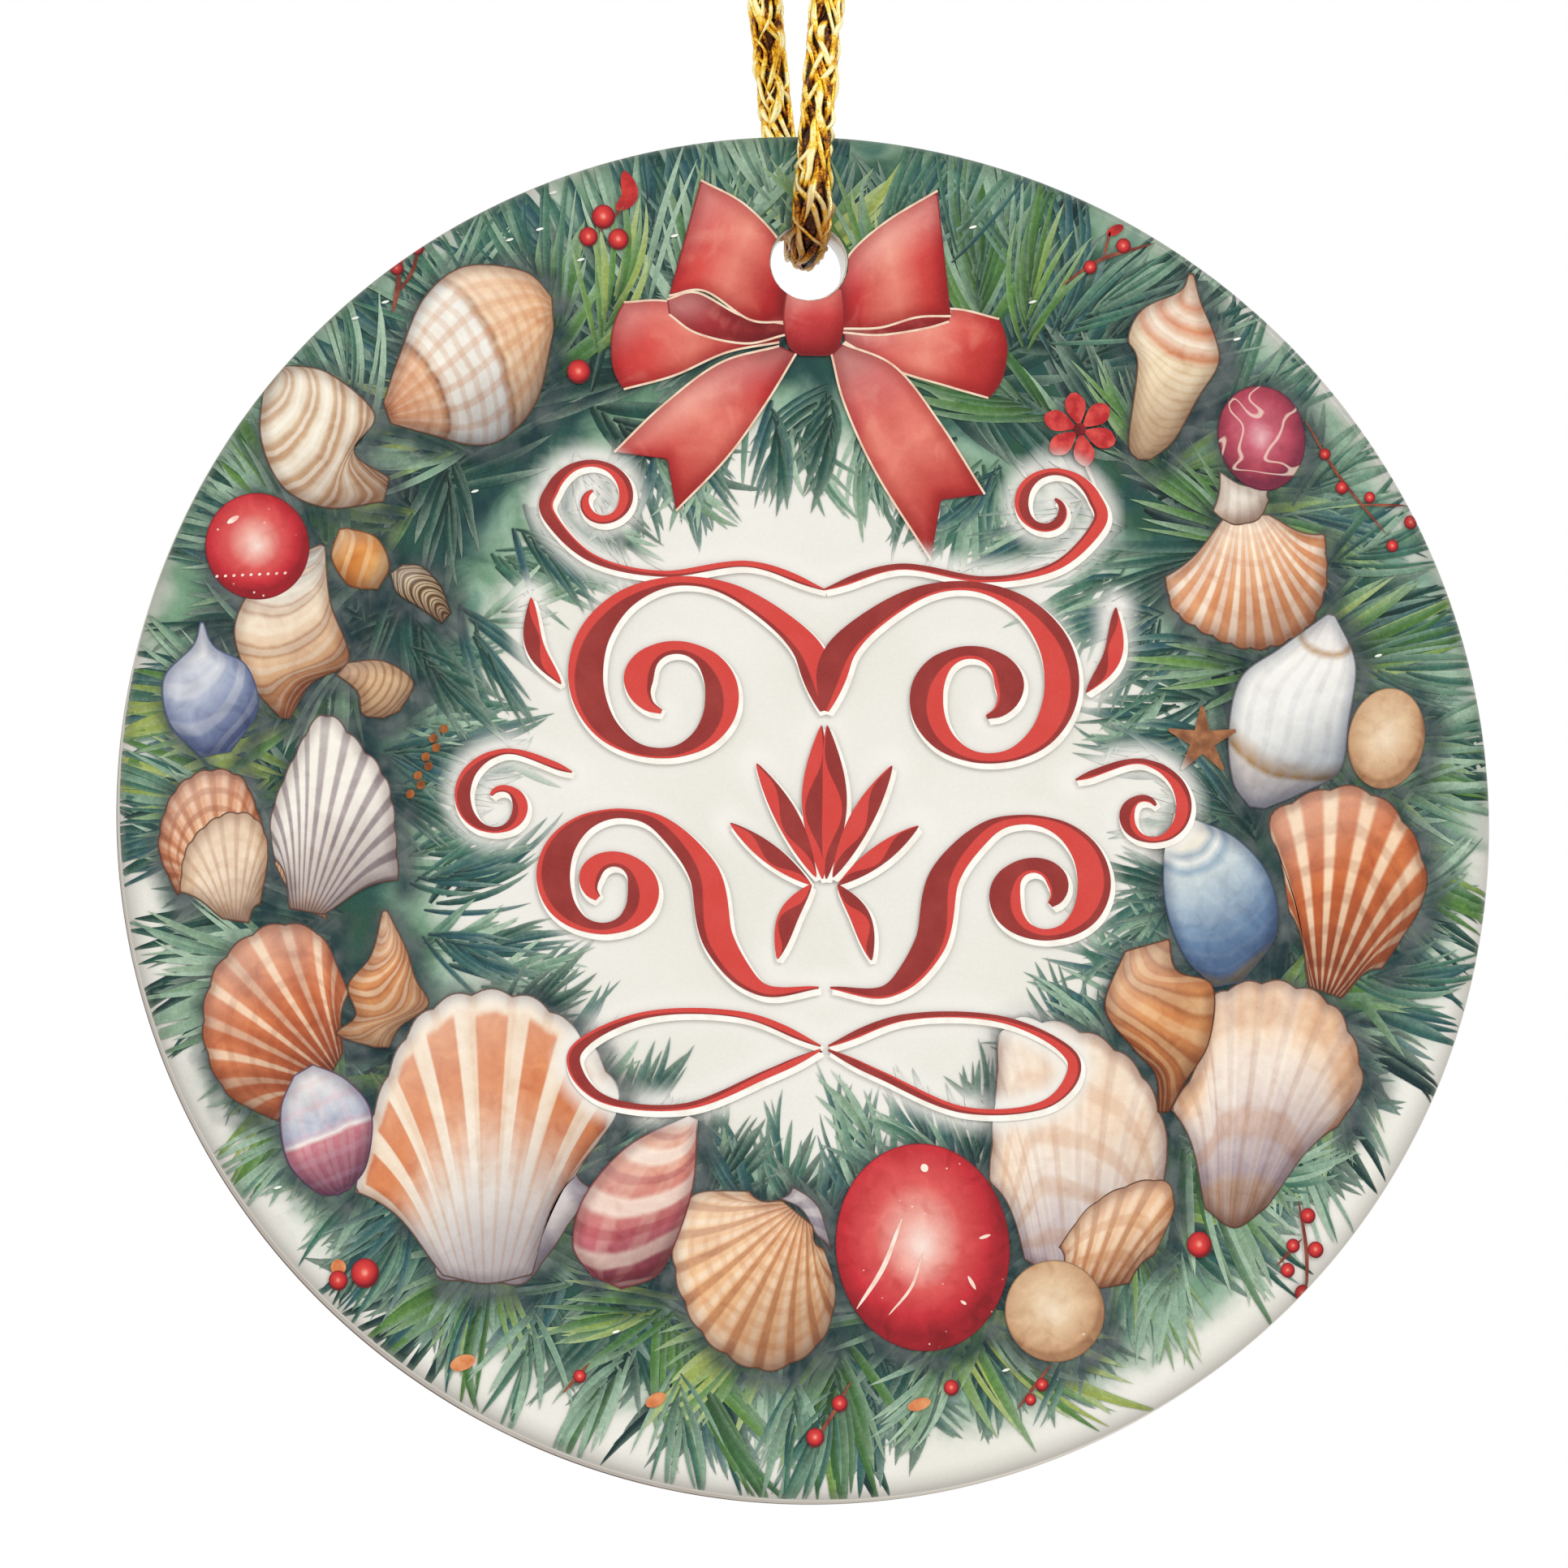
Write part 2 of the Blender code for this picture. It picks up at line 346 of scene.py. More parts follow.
class Coat:
    """Painted shapes on the disc that become one mesh."""

    def __init__(self):
        self.points = []
        self.lifts = []
        self.faces = []
        self.values = {}
        self.count = 0

    def add(self, grid, lift, **values):
        """One grid of points. Its along and across run from 0 to 1."""
        rows, columns = grid.shape[:2]
        values["along"] = np.repeat(np.linspace(0, 1, rows), columns)
        values["across"] = np.tile(np.linspace(0, 1, columns), rows)
        for key, numbers in values.items():
            numbers = np.broadcast_to(np.asarray(numbers, float), rows * columns)
            self.values.setdefault(key, []).append(numbers)
        self.points.append(grid.reshape(-1, 2))
        self.lifts.append(np.full(rows * columns, float(lift)))
        self.faces.append(grid_faces(rows, columns) + self.count)
        self.count += rows * columns

    def build(self, name, material, glows=True):
        """One piece without what falls in the hole or past the edge. The scrollwork has no glow on it."""
        flat = np.concatenate(self.points)
        vertices = on_disc(flat, np.concatenate(self.lifts))
        faces = facing_forward(vertices, trimmed(vertices, np.concatenate(self.faces)))
        values = {key: np.concatenate(numbers) for key, numbers in self.values.items()}
        values["edge"] = near_edge(flat)
        if glows:
            values["glow"] = glow_at(flat)
        make_piece(name, vertices, faces, material, "disc", "print", False, **values)


def paint_shape(name, grid, material, lift, closed=False):
    """One painted shape as its own piece, with what its form shading needs."""
    coat = Coat()
    coat.add(grid, lift, rim=rim_distance(grid, closed), light=facing_light(grid))
    coat.build(name, material)


# ---------------------------------------------------------------- materials


def linear(tone, gain=PAINT_GAIN):
    """An sRGB hex colour as the linear colour that a shader takes."""
    channels = [int(tone[start:start + 2], 16) / 255 for start in (1, 3, 5)]
    bright = [
        value / 12.92 if value <= 0.04045 else ((value + 0.055) / 1.055) ** 2.4
        for value in channels
    ]
    return (*(value * share for value, share in zip(bright, gain)), 1.0)


class Paint:
    """A node material in the making. Each method adds one node and gives its result."""

    def __init__(self, name, gain=PAINT_GAIN):
        self.gain = gain
        self.material = bpy.data.materials.new(name)
        self.material.use_nodes = True
        self.nodes = self.material.node_tree.nodes
        self.links = self.material.node_tree.links
        self.shader = self.nodes["Principled BSDF"]

    def put(self, socket, value):
        """Feeds a socket from another node's output, a hex colour or a number."""
        if isinstance(value, bpy.types.NodeSocket):
            self.links.new(value, socket)
        elif isinstance(value, str):
            socket.default_value = linear(value, self.gain)
        else:
            socket.default_value = value

    def attribute(self, name):
        """One of the numbers that a piece's vertices carry."""
        node = self.nodes.new("ShaderNodeAttribute")
        node.attribute_name = name
        return node.outputs["Fac"]

    def math(self, operation, first, second=0.0):
        """Result of a sum or function of one or two values."""
        node = self.nodes.new("ShaderNodeMath")
        node.operation = operation
        self.put(node.inputs[0], first)
        self.put(node.inputs[1], second)
        return node.outputs[0]

    def between(self, value, low, high, strength=1.0):
        """0 where value is at low, strength where it is at high, and smooth in between."""
        node = self.nodes.new("ShaderNodeMapRange")
        node.interpolation_type = "SMOOTHSTEP"
        self.put(node.inputs["Value"], value)
        node.inputs["From Min"].default_value = low
        node.inputs["From Max"].default_value = high
        node.inputs["To Max"].default_value = strength
        return node.outputs["Result"]

    def mix(self, factor, first, second, blend="MIX"):
        """First colour where factor is 0, second or its blend where factor is 1."""
        node = self.nodes.new("ShaderNodeMix")
        node.data_type = "RGBA"
        node.blend_type = blend
        self.put(node.inputs["Factor"], factor)
        self.put(node.inputs["A"], first)
        self.put(node.inputs["B"], second)
        return node.outputs["Result"]

    def ramp(self, factor, stops):
        """Colour that runs through the stops, each a (position, tone)."""
        node = self.nodes.new("ShaderNodeValToRGB")
        elements = node.color_ramp.elements
        while len(elements) < len(stops):
            elements.new(0.5)
        for element, (position, tone) in zip(elements, stops):
            element.position = position
            element.color = linear(tone, self.gain)
        self.put(node.inputs["Fac"], factor)
        return node.outputs["Color"]

    def place(self):
        """Coordinates of the piece itself, in metres."""
        node = self.nodes.new("ShaderNodeTexCoord")
        return node.outputs["Object"]

    def noise(self, grain, detail=4.0, warp=0.0):
        """Cloudy noise whose patches are about grain millimetres wide."""
        node = self.nodes.new("ShaderNodeTexNoise")
        node.inputs["Scale"].default_value = 1 / (grain * MM)
        node.inputs["Detail"].default_value = detail
        node.inputs["Distortion"].default_value = warp
        self.links.new(self.place(), node.inputs["Vector"])
        return node.outputs["Fac"]

    def cells(self, grain):
        """Distance from the nearest of scattered dots that are about grain millimetres apart."""
        node = self.nodes.new("ShaderNodeTexVoronoi")
        node.inputs["Scale"].default_value = 1 / (grain * MM)
        self.links.new(self.place(), node.inputs["Vector"])
        return node.outputs["Distance"]

    def stripes(self, coordinate, count, sharpness):
        """Bands across a coordinate that runs from 0 to 1: soft at sharpness 1, fine lines at 10."""
        turn = self.math("MULTIPLY", coordinate, count * math.pi)
        wave = self.math("ABSOLUTE", self.math("COSINE", turn))
        return self.math("POWER", wave, sharpness)

    def bump(self, height, depth):
        """Relief depth millimetres high."""
        node = self.nodes.new("ShaderNodeBump")
        node.inputs["Strength"].default_value = 0.6
        node.inputs["Distance"].default_value = depth * MM
        self.links.new(height, node.inputs["Height"])
        self.links.new(node.outputs["Normal"], self.shader.inputs["Normal"])

    def finish(self, tone, roughness, specular=0.25, metallic=0.0):
        """Feeds the shader and gives the finished material."""
        self.put(self.shader.inputs["Base Color"], tone)
        self.put(self.shader.inputs["Roughness"], roughness)
        self.put(self.shader.inputs["Specular IOR Level"], specular)
        self.put(self.shader.inputs["Metallic"], metallic)
        return self.material

    def printed(self, tone):
        """Finish of all print: grain of the paper it was painted on, the glow, and painted shade at the
        edge.
        """
        grain = self.noise(0.16, 3.0)
        tone = self.mix(self.between(grain, 0.35, 0.75, 0.10), tone, "#FFFFFF", "SOFT_LIGHT")
        tone = self.mix(self.attribute("glow"), tone, "#F6F6F6")
        # Painted shade where the disc's front rounds away at its edge
        edge_shade = self.between(self.attribute("edge"), 0.1, 1.3, 0.5)
        tone = self.mix(edge_shade, tone, "#857F80", "MULTIPLY")
        depth = self.nodes.new("ShaderNodeGamma")
        depth.inputs["Gamma"].default_value = PAINT_DEPTH
        self.put(depth.inputs["Color"], tone)
        self.bump(grain, 0.004)
        return self.finish(depth.outputs["Color"], self.between(grain, 0.2, 0.8, 0.45))


def watercolour(paint, tone, amount=0.5):
    """Lets a colour pool and thin out, as watercolour does."""
    pools = paint.noise(1.1, 5.0, 0.8)
    tone = paint.mix(paint.between(pools, 0.45, 0.75, amount), tone, "#FFFFFF", "SOFT_LIGHT")
    return paint.mix(paint.between(pools, 0.5, 0.25, amount), tone, "#5A5048", "SOFT_LIGHT")


def rounded_form(paint, tone, shade, outline):
    """Light at the upper left, shade at the lower right and along the rim, and a fine outline."""
    light = paint.attribute("light")
    rim = paint.attribute("rim")
    tone = paint.mix(paint.between(light, 0.0, 1.0, 0.25), tone, "#FFFDF8")
    tone = paint.mix(paint.between(light, 0.2, -1.0, 0.75), tone, shade, "MULTIPLY")
    tone = paint.mix(paint.between(rim, 0.9, 0.0, 0.60), tone, shade, "MULTIPLY")
    return paint.mix(paint.between(rim, 0.11, 0.05, 0.85), tone, outline)


def shell_paint(
    name, tones, ribs=(), bands=(), rays=(), bend=0.0, slant=0.0, shade="#B3A09C", outline="#5E3F33"
):
    """Shell colours along its length, ribs across it, and growth bands that may bend or slant.

    Each rib or band is (count, colour, strength, sharpness). Each ray, a broad stripe that starts
    some way up the shell and stops short of its rim, is (count, colour, start).
    """
    paint = Paint(name)
    across = paint.attribute("across")
    side = paint.math("SUBTRACT", across, 0.5)
    bent = paint.math("MULTIPLY", paint.math("MULTIPLY", side, side), bend)
    leaning = paint.math("MULTIPLY", side, slant)
    wobble = paint.math("MULTIPLY", paint.noise(1.6, 3.0), 0.04)
    along = paint.math("ADD", paint.attribute("along"), wobble)
    along = paint.math("ADD", along, paint.math("ADD", bent, leaning))
    tone = paint.ramp(along, tones)
    for coordinate, marks in ((across, ribs), (along, bands)):
        for count, mark_tone, strength, sharpness in marks:
            stripes = paint.stripes(coordinate, count, sharpness)
            tone = paint.mix(paint.between(stripes, 0.15, 0.75, strength), tone, mark_tone)
            if sharpness >= 6 and marks is ribs:
                lit = paint.stripes(paint.math("ADD", coordinate, 0.4 / count), count, 6.0)
                tone = paint.mix(paint.between(lit, 0.2, 0.95, 0.5 * strength), tone, "#FFF8EE")
    for count, ray_tone, start in rays:
        stripes = paint.stripes(paint.math("ADD", across, 0.5 / count), count, 1.0)
        ray = paint.between(stripes, 0.50, 0.66)
        grown = paint.math("MULTIPLY", ray, paint.between(along, start, start + 0.5))
        kept = paint.math("MULTIPLY", grown, paint.between(along, 0.965, 0.935))
        tone = paint.mix(kept, tone, ray_tone)
    tone = watercolour(paint, tone, 0.4)
    return paint.printed(rounded_form(paint, tone, shade, outline))


def bauble_paint(name, tones, speckle="#FFF2E4", speckles=0.10, outline="#7A1822", veins=0.0):
    """Glass ball: pale glint in the middle, deep rim, and scattered specks of snow."""
    paint = Paint(name)
    lifted = paint.math("MULTIPLY", paint.attribute("light"), 0.22)
    tone = paint.ramp(paint.math("SUBTRACT", paint.attribute("along"), lifted), tones)
    tone = watercolour(paint, tone, 0.4)
    specks = paint.between(paint.cells(0.55), speckles, 0.02)
    patch = paint.between(paint.noise(2.4, 2.0), 0.52, 0.62)
    tone = paint.mix(paint.math("MULTIPLY", specks, patch), tone, speckle)
    if veins:
        crack = paint.math("ABSOLUTE", paint.math("SUBTRACT", paint.noise(3.0, 1.0, 0.6), 0.5))
        tone = paint.mix(paint.between(crack, 0.013, 0.004, veins), tone, speckle)
    rim = paint.attribute("rim")
    tone = paint.mix(paint.between(rim, 0.09, 0.03, 0.6), tone, outline)
    return paint.printed(tone)


def needle_paint():
    """Pine needles: hue by tint, dark at the foot, thin and pale at the tip, a lighter side."""
    paint = Paint("pine_needles")
    hues = [(0.0, "#12333A"), (0.15, "#1A433F"), (0.30, "#27574F"), (0.42, "#2F5C68")]
    hues += [(0.55, "#447463"), (0.70, "#A3BFAD"), (0.82, "#3C6A3C"), (0.92, "#648D49"), (1.0, "#A0B062")]
    tone = paint.ramp(paint.attribute("tint"), hues)
    along = paint.attribute("along")
    tone = paint.mix(paint.between(along, 0.35, 0.0, 0.6), tone, "#5C7C78", "MULTIPLY")
    tone = paint.mix(paint.between(along, 0.4, 1.0, 0.34), tone, "#C4D6C8")
    side = paint.between(paint.attribute("across"), 0.3, 1.0, 0.22)
    tone = paint.mix(side, tone, "#A9C4B4")
    streaks = paint.between(paint.noise(0.35, 4.0, 1.0), 0.4, 0.7, 0.45)
    tone = paint.mix(streaks, tone, "#FFFFFF", "SOFT_LIGHT")
    return paint.printed(tone)


def wash_paint():
    """Cream ground with the wreath's teal wash, strongest where the attribute says."""
    paint = Paint("wash")
    ground = paint.mix(paint.between(paint.noise(9.0, 3.0), 0.3, 0.7), "#F1F1F0", "#ECECE9")
    clouds = paint.noise(3.2, 6.0, 1.2)
    deep = paint.ramp(
        paint.noise(5.0, 3.0, 0.6),
        [(0.32, "#1D444B"), (0.45, "#2A5A55"), (0.56, "#335F4C"), (0.68, "#3A6A70")],
    )
    thin = paint.ramp(
        paint.noise(4.0, 4.0, 1.0), [(0.35, "#6C9A8C"), (0.5, "#9DBCAA"), (0.62, "#7FA58C")]
    )
    wash = paint.attribute("wash")
    strength = paint.math("ADD", wash, paint.math("MULTIPLY", clouds, 0.7))
    hue = paint.mix(paint.between(strength, 0.75, 1.25), thin, deep)
    tone = paint.mix(paint.between(strength, 0.28, 0.80), ground, hue)
    return paint.printed(tone)


def shade_paint():
    """See-through dark wash as dense as its veil attribute says."""
    paint = Paint("shell_shade")
    cloud = paint.between(paint.noise(1.2, 3.0), 0.2, 0.8, 0.35)
    density = paint.math("SUBTRACT", paint.attribute("veil"), cloud)
    thinnest = paint.math("MULTIPLY", paint.attribute("veil"), 0.25)
    paint.put(paint.shader.inputs["Alpha"], paint.math("MAXIMUM", density, thinnest))
    mottled = paint.mix(paint.between(paint.noise(1.5), 0.3, 0.7, 0.15), "#143640", "#FFFFFF")
    return paint.finish(mottled, 0.35)


def ribbon_paint(name, tones):
    """Satin ribbon: folds run along it, darkest where it gathers at the knot."""
    paint = Paint(name)
    tone = paint.ramp(paint.attribute("along"), tones)
    folds = paint.stripes(paint.attribute("across"), 2.0, 3.0)
    tone = paint.mix(paint.math("MULTIPLY", folds, 0.14), tone, "#BC3038")
    tone = paint.mix(paint.between(paint.noise(2.2, 4.0, 1.0), 0.5, 0.75, 0.35), tone, "#F4A89A")
    tone = watercolour(paint, tone, 0.18)
    return paint.printed(rounded_form(paint, tone, "#D9868A", "#8E2430"))


def scroll_paint():
    """Two-tone red lacquer: the shaded side of a stroke is the darker one."""
    paint = Paint("scroll_red")
    across = paint.math("ADD", paint.attribute("across"), paint.attribute("turn"))
    tone = paint.mix(paint.between(across, 0.44, 0.50), "#D9504A", "#9B3937")
    tone = paint.mix(paint.between(paint.noise(1.8), 0.35, 0.7, 0.12), tone, "#E8776F")
    return paint.printed(tone)


def plain_print(name, tone, other):
    """One printed tone that drifts into another."""
    paint = Paint(name)
    drift = paint.between(paint.noise(0.9, 4.0), 0.35, 0.7)
    return paint.printed(paint.mix(drift, tone, other))


def white_ceramic(paint, drift):
    """Warm white with faint clouds and a few fine pits."""
    tone = paint.mix(paint.between(drift, 0.3, 0.7), "#FBF8F4", "#F5F1EC")
    pits = paint.between(paint.cells(1.3), 0.06, 0.02, 0.35)
    return paint.mix(pits, tone, "#CFC3B8")


def glaze_paint():
    """White glaze with a clear shine."""
    paint = Paint("white_glaze")
    drift = paint.noise(6.0, 4.0)
    paint.bump(drift, 0.02)
    paint.shader.inputs["Coat Roughness"].default_value = 0.08
    paint.shader.inputs["Coat Weight"].default_value = 0.4
    return paint.finish(white_ceramic(paint, drift), paint.between(drift, -0.2, 1.2, 0.32), 0.4)


def dark_line_and_shade_paint():
    """Dull dark brown line and painted shade, fading into the glaze's white where the attribute says."""
    paint = Paint("wall_dark_line_and_shade")
    drift = paint.noise(6.0, 4.0)
    # Painted shade and the dark line: the glaze's white turns brown as far as the attribute says, patchily
    dark_line_and_shade = paint.math("MULTIPLY", paint.attribute("dark_line_and_shade"), paint.between(drift, -0.1, 0.45))
    tone = paint.mix(dark_line_and_shade, white_ceramic(paint, drift), "#57433A")
    paint.bump(paint.noise(0.3), 0.01)
    return paint.finish(tone, paint.between(drift, 0.0, 0.4, 0.8), 0.05)


def gold_paint():
    """Foil thread: painted glints, amber flanks, painted near-black shade in hollows, browner painted
    shade.
    """
    paint = Paint("gold_cord", gain=(1, 1, 1))
    depth = paint.attribute("depth")
    glints = paint.noise(0.33, 4.0, 1.6)
    # Painted light and shade: near-black deep in the braid, pale glints where the noise lifts it
    painted_light = paint.math("ADD", depth, paint.math("MULTIPLY", glints, 0.9))
    stops = [(0.0, "#1C0A02"), (0.24, "#4A2206"), (0.40, "#98580C"), (0.56, "#CF8D12")]
    stops += [(0.76, "#EDB529"), (0.92, "#F9DA62"), (1.0, "#FFF2B4")]
    tone = paint.ramp(paint.between(painted_light, 0.42, 1.42), stops)
    # Painted shade, browner, where the cord turns through the hole and inside the knot
    creased = paint.math("MULTIPLY", paint.attribute("crease"), 0.75)
    tone = paint.mix(creased, tone, "#A06A22", "MULTIPLY")
    paint.bump(paint.noise(0.12, 3.0, 0.5), 0.05)
    return paint.finish(tone, paint.between(glints, 0.2, 0.9, 0.5), 0.5, 0.72)


# ---------------------------------------------------------------- ceramic and ground


def make_ceramic():
    """Turned body with rounded edges, cut through by the hole."""
    core = DISC_RADIUS - EDGE_ROUNDING
    front = FRONT_Y + GLAZE_SETBACK
    steps = np.linspace(0, math.pi / 2, 9)
    front_edge = [
        (core + EDGE_ROUNDING * math.sin(turn), front + EDGE_ROUNDING * (1 - math.cos(turn)))
        for turn in steps
    ]
    back_edge = [
        (core + EDGE_ROUNDING * math.cos(turn), BACK_Y - EDGE_ROUNDING * (1 - math.sin(turn)))
        for turn in steps
    ]
    wall = [(DISC_RADIUS, height) for height in np.linspace(front + 0.6, BACK_Y - 0.6, 14)]
    inner = [(core * share, front) for share in (0.001, 0.5)]
    outer = [(core * share, BACK_Y) for share in (0.5, 0.001)]
    profile = np.array(inner + front_edge + wall + back_edge + outer)
    segments = 360
    turn = np.linspace(0, 2 * math.pi, segments, endpoint=False)
    radius, height = profile[:, 0][:, None], profile[:, 1][:, None]
    x = radius * np.cos(turn)
    z = radius * np.sin(turn) + DISC_Z
    y = np.broadcast_to(height, x.shape)
    vertices = np.stack([x, y, z], axis=2).reshape(-1, 3) * MM
    rows = len(profile)
    corner = np.arange(rows * segments).reshape(rows, segments)
    after = np.roll(corner, -1, axis=1)
    faces = np.stack([corner[:-1], after[:-1], after[1:], corner[1:]], axis=2)
    faces = faces.reshape(-1, 4).tolist()
    faces.append(corner[0][::-1].tolist())
    faces.append(corner[-1].tolist())
    body = link_mesh("ceramic_body", vertices.tolist(), faces, glaze_paint())
    cut_hole(body)
    mark_dark_line_and_shade(body.data)
    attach(body, "disc")
    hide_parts("ceramic_disc")


def mark_dark_line_and_shade(mesh):
    """Dark brown line towards the back of the wall, and painted shade in front of it, on the left and
    below.
    """
    dark_line_and_shade = []
    for vertex in mesh.vertices:
        x, y, z = vertex.co / MM
        turn = math.atan2(z - DISC_Z, x)
        line = 2.9 - abs(y - DARK_LINE_Y) / DARK_LINE_SOFTNESS
        # Painted shade on the wall in front of the line, on the side turned from the light
        shaded = 0.5 * min(max((y - FRONT_Y - 0.1) / 0.5, 0), 1) if y < DARK_LINE_Y else 0.0
        side = 0.35 - 0.9 * math.cos(turn) - 0.5 * math.sin(turn)
        at_wall = math.hypot(x, z - DISC_Z) > DISC_RADIUS - DARK_LINE_AND_SHADE_DEPTH
        dark_line_and_shade.append(min(max(line, shaded, 0), 1) * min(max(side, 0), 1) * at_wall)
    layer = mesh.attributes.new("dark_line_and_shade", "FLOAT", "POINT")
    layer.data.foreach_set("value", dark_line_and_shade)
    mesh.materials.append(dark_line_and_shade_paint())
    for face in mesh.polygons:
        if max(dark_line_and_shade[corner] for corner in face.vertices) > 0.02:
            face.material_index = 1


def cut_hole(body):
    """Takes a spool with flared ends out of the body, so that the hole's edges are rounded."""
    middle = (FRONT_Y + BACK_Y) / 2
    half = BACK_Y - middle
    profile = [(HOLE_RADIUS + HOLE_ROUNDING, half + 1)]
    for step in range(9):
        turn = math.pi / 2 * step / 8
        radius = HOLE_RADIUS + HOLE_ROUNDING * (1 - math.sin(turn))
        profile.append((radius, half - HOLE_ROUNDING * (1 - math.cos(turn))))
    profile += [(radius, -height) for radius, height in reversed(profile)]
    segments = HOLE_SEGMENTS
    vertices = []
    for radius, height in profile:
        for step in range(segments):
            turn = 2 * math.pi * step / segments
            x, z = radius * math.cos(turn), radius * math.sin(turn) + HOLE_Z + DISC_Z
            vertices.append((x * MM, (middle + height) * MM, z * MM))
    faces = []
    for row in range(len(profile) - 1):
        for step in range(segments):
            after = (step + 1) % segments
            low, high = row * segments, (row + 1) * segments
            faces.append((low + step, high + step, high + after, low + after))
    faces.append(list(range(segments)))
    faces.append(list(range(len(vertices) - 1, len(vertices) - segments - 1, -1)))
    cutter = link_mesh("hole_cutter", vertices, faces)
    for item in (body, cutter):
        shape = bmesh.new()
        shape.from_mesh(item.data)
        bmesh.ops.recalc_face_normals(shape, faces=shape.faces)
        shape.to_mesh(item.data)
        shape.free()
    boolean = body.modifiers.new("hole", "BOOLEAN")
    boolean.operation = "DIFFERENCE"
    boolean.solver = "EXACT"
    boolean.object = cutter
    shape = body.evaluated_get(bpy.context.evaluated_depsgraph_get())
    cut = bpy.data.meshes.new_from_object(shape)
    body.modifiers.clear()
    body.data = cut
    bpy.data.objects.remove(cutter, do_unlink=True)
    cut.shade_smooth()
    cut.set_sharp_from_angle(angle=math.radians(35))


def ring(radius, count, centre=(0.0, 0.0)):
    """Evenly spaced points on a circle."""
    turn = np.linspace(0, 2 * math.pi, count, endpoint=False)
    return np.stack([centre[0] + radius * np.cos(turn), centre[1] + radius * np.sin(turn)], axis=1)


def wash_strength(flat):
    """How much of the wreath's wash lies at each point: a ring that thins out both ways."""
    radius = np.hypot(flat[:, 0], flat[:, 1])
    turn = np.arctan2(flat[:, 1], flat[:, 0])
    outer = 36.2 + 2.2 * np.sin(turn) + 0.7 * np.sin(5 * turn + 1)
    inner = 18.9 + 0.5 * np.sin(turn) + 0.9 * np.sin(4 * turn)
    fade_out = np.clip((outer - radius) / 5.5, -1, 1)
    fade_in = np.clip((radius - inner) / 5.0, -1, 1)
    return np.minimum(fade_out, fade_in)


def make_ground():
    """Sheet over the whole front that carries the cream ground and the wash."""
    spacing = 0.5
    steps = np.arange(-DISC_RADIUS, DISC_RADIUS, spacing)
    grid = np.stack(np.meshgrid(steps, steps), axis=2).reshape(-1, 2)
    from_hole = np.hypot(grid[:, 0], grid[:, 1] - HOLE_Z)
    core = DISC_RADIUS - EDGE_ROUNDING
    margin = 0.3
    inside = np.hypot(grid[:, 0], grid[:, 1]) < core - margin
    grid = grid[inside & (from_hole > PRINT_HOLE_RADIUS + margin)]
    edges = [ring(radius, 480) for radius in np.linspace(core, PRINT_EDGE, 6)]
    hole = ring(PRINT_HOLE_RADIUS, HOLE_SEGMENTS, (0.0, HOLE_Z))
    flat = np.concatenate([grid, hole] + edges)
    first = len(grid)
    links = [(first + step, first + (step + 1) % HOLE_SEGMENTS) for step in range(HOLE_SEGMENTS)]
    points, _, triangles, *_ = delaunay_2d_cdt([Vector(point) for point in flat], links, [], 0, 1e-7)
    flat = np.array(points)
    triangles = np.array(triangles)
    centres = flat[triangles].mean(axis=1)
    keep = np.hypot(centres[:, 0], centres[:, 1] - HOLE_Z) > PRINT_HOLE_RADIUS - 0.01
    vertices = on_disc(flat, 0, PRINT_EDGE)
    ground = make_piece(
        "print_ground", vertices, triangles[keep], wash_paint(), "disc", "print",
        wash=wash_strength(flat), glow=glow_at(flat), edge=near_edge(flat),
    )
    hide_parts("printed_coating")


# ---------------------------------------------------------------- pine foliage


SECTORS = 12
NEEDLE_TINTS = {
    # name: lowest and highest place in needle_paint's row of hues
    "dark": (0.0, 0.3),
    "blue": (0.15, 0.45),
    "soft": (0.3, 0.62),
    "pale": (0.5, 0.72),
    "green": (0.72, 1.0),
}
OUTER_FEET = 28.0
FIRST_RING_SPILL = (-2.5, 3.0)
OUT, IN = 0.0, math.pi
SPRAY_RINGS = [
    # (sprays, distance of their feet from the centre, heading, its scatter, reach or None for as far as
    # the edge, needles in a spray, spread, tints, layer, half width of a needle)
    (76, 26.3, OUT, 1.5, 9.0, 9, 1.1, "dark", 0, 0.42),
    (52, OUTER_FEET, OUT, 0.4, None, 15, 1.2, "blue", 1, 0.30),
    (40, 22.0, IN, 0.4, 7.2, 11, 1.1, "soft", 1, 0.24),
    (34, 20.9, IN, 0.4, 5.4, 9, 1.0, "pale", 2, 0.18),
    (36, 28.4, OUT, 0.5, None, 15, 1.1, "soft", 2, 0.25),
    (46, 26.3, OUT, 1.5, 8.8, 11, 1.1, "dark", 2, 0.32),
    (34, 22.4, IN, 0.4, 7.0, 11, 1.0, "blue", 3, 0.22),
    (30, 26.5, OUT, 1.0, 10.5, 17, 1.3, "green", 3, 0.30),
    (46, 29.5, OUT, 0.5, None, 11, 1.1, "pale", 4, 0.20),
    (22, 27.0, OUT, 1.2, 8.5, 13, 1.0, "green", 4, 0.23),
]


def sector_of(point):
    """Which of the disc's equal sectors a point lies in."""
    return int((math.atan2(point[1], point[0]) / (2 * math.pi) + 1) * SECTORS) % SECTORS


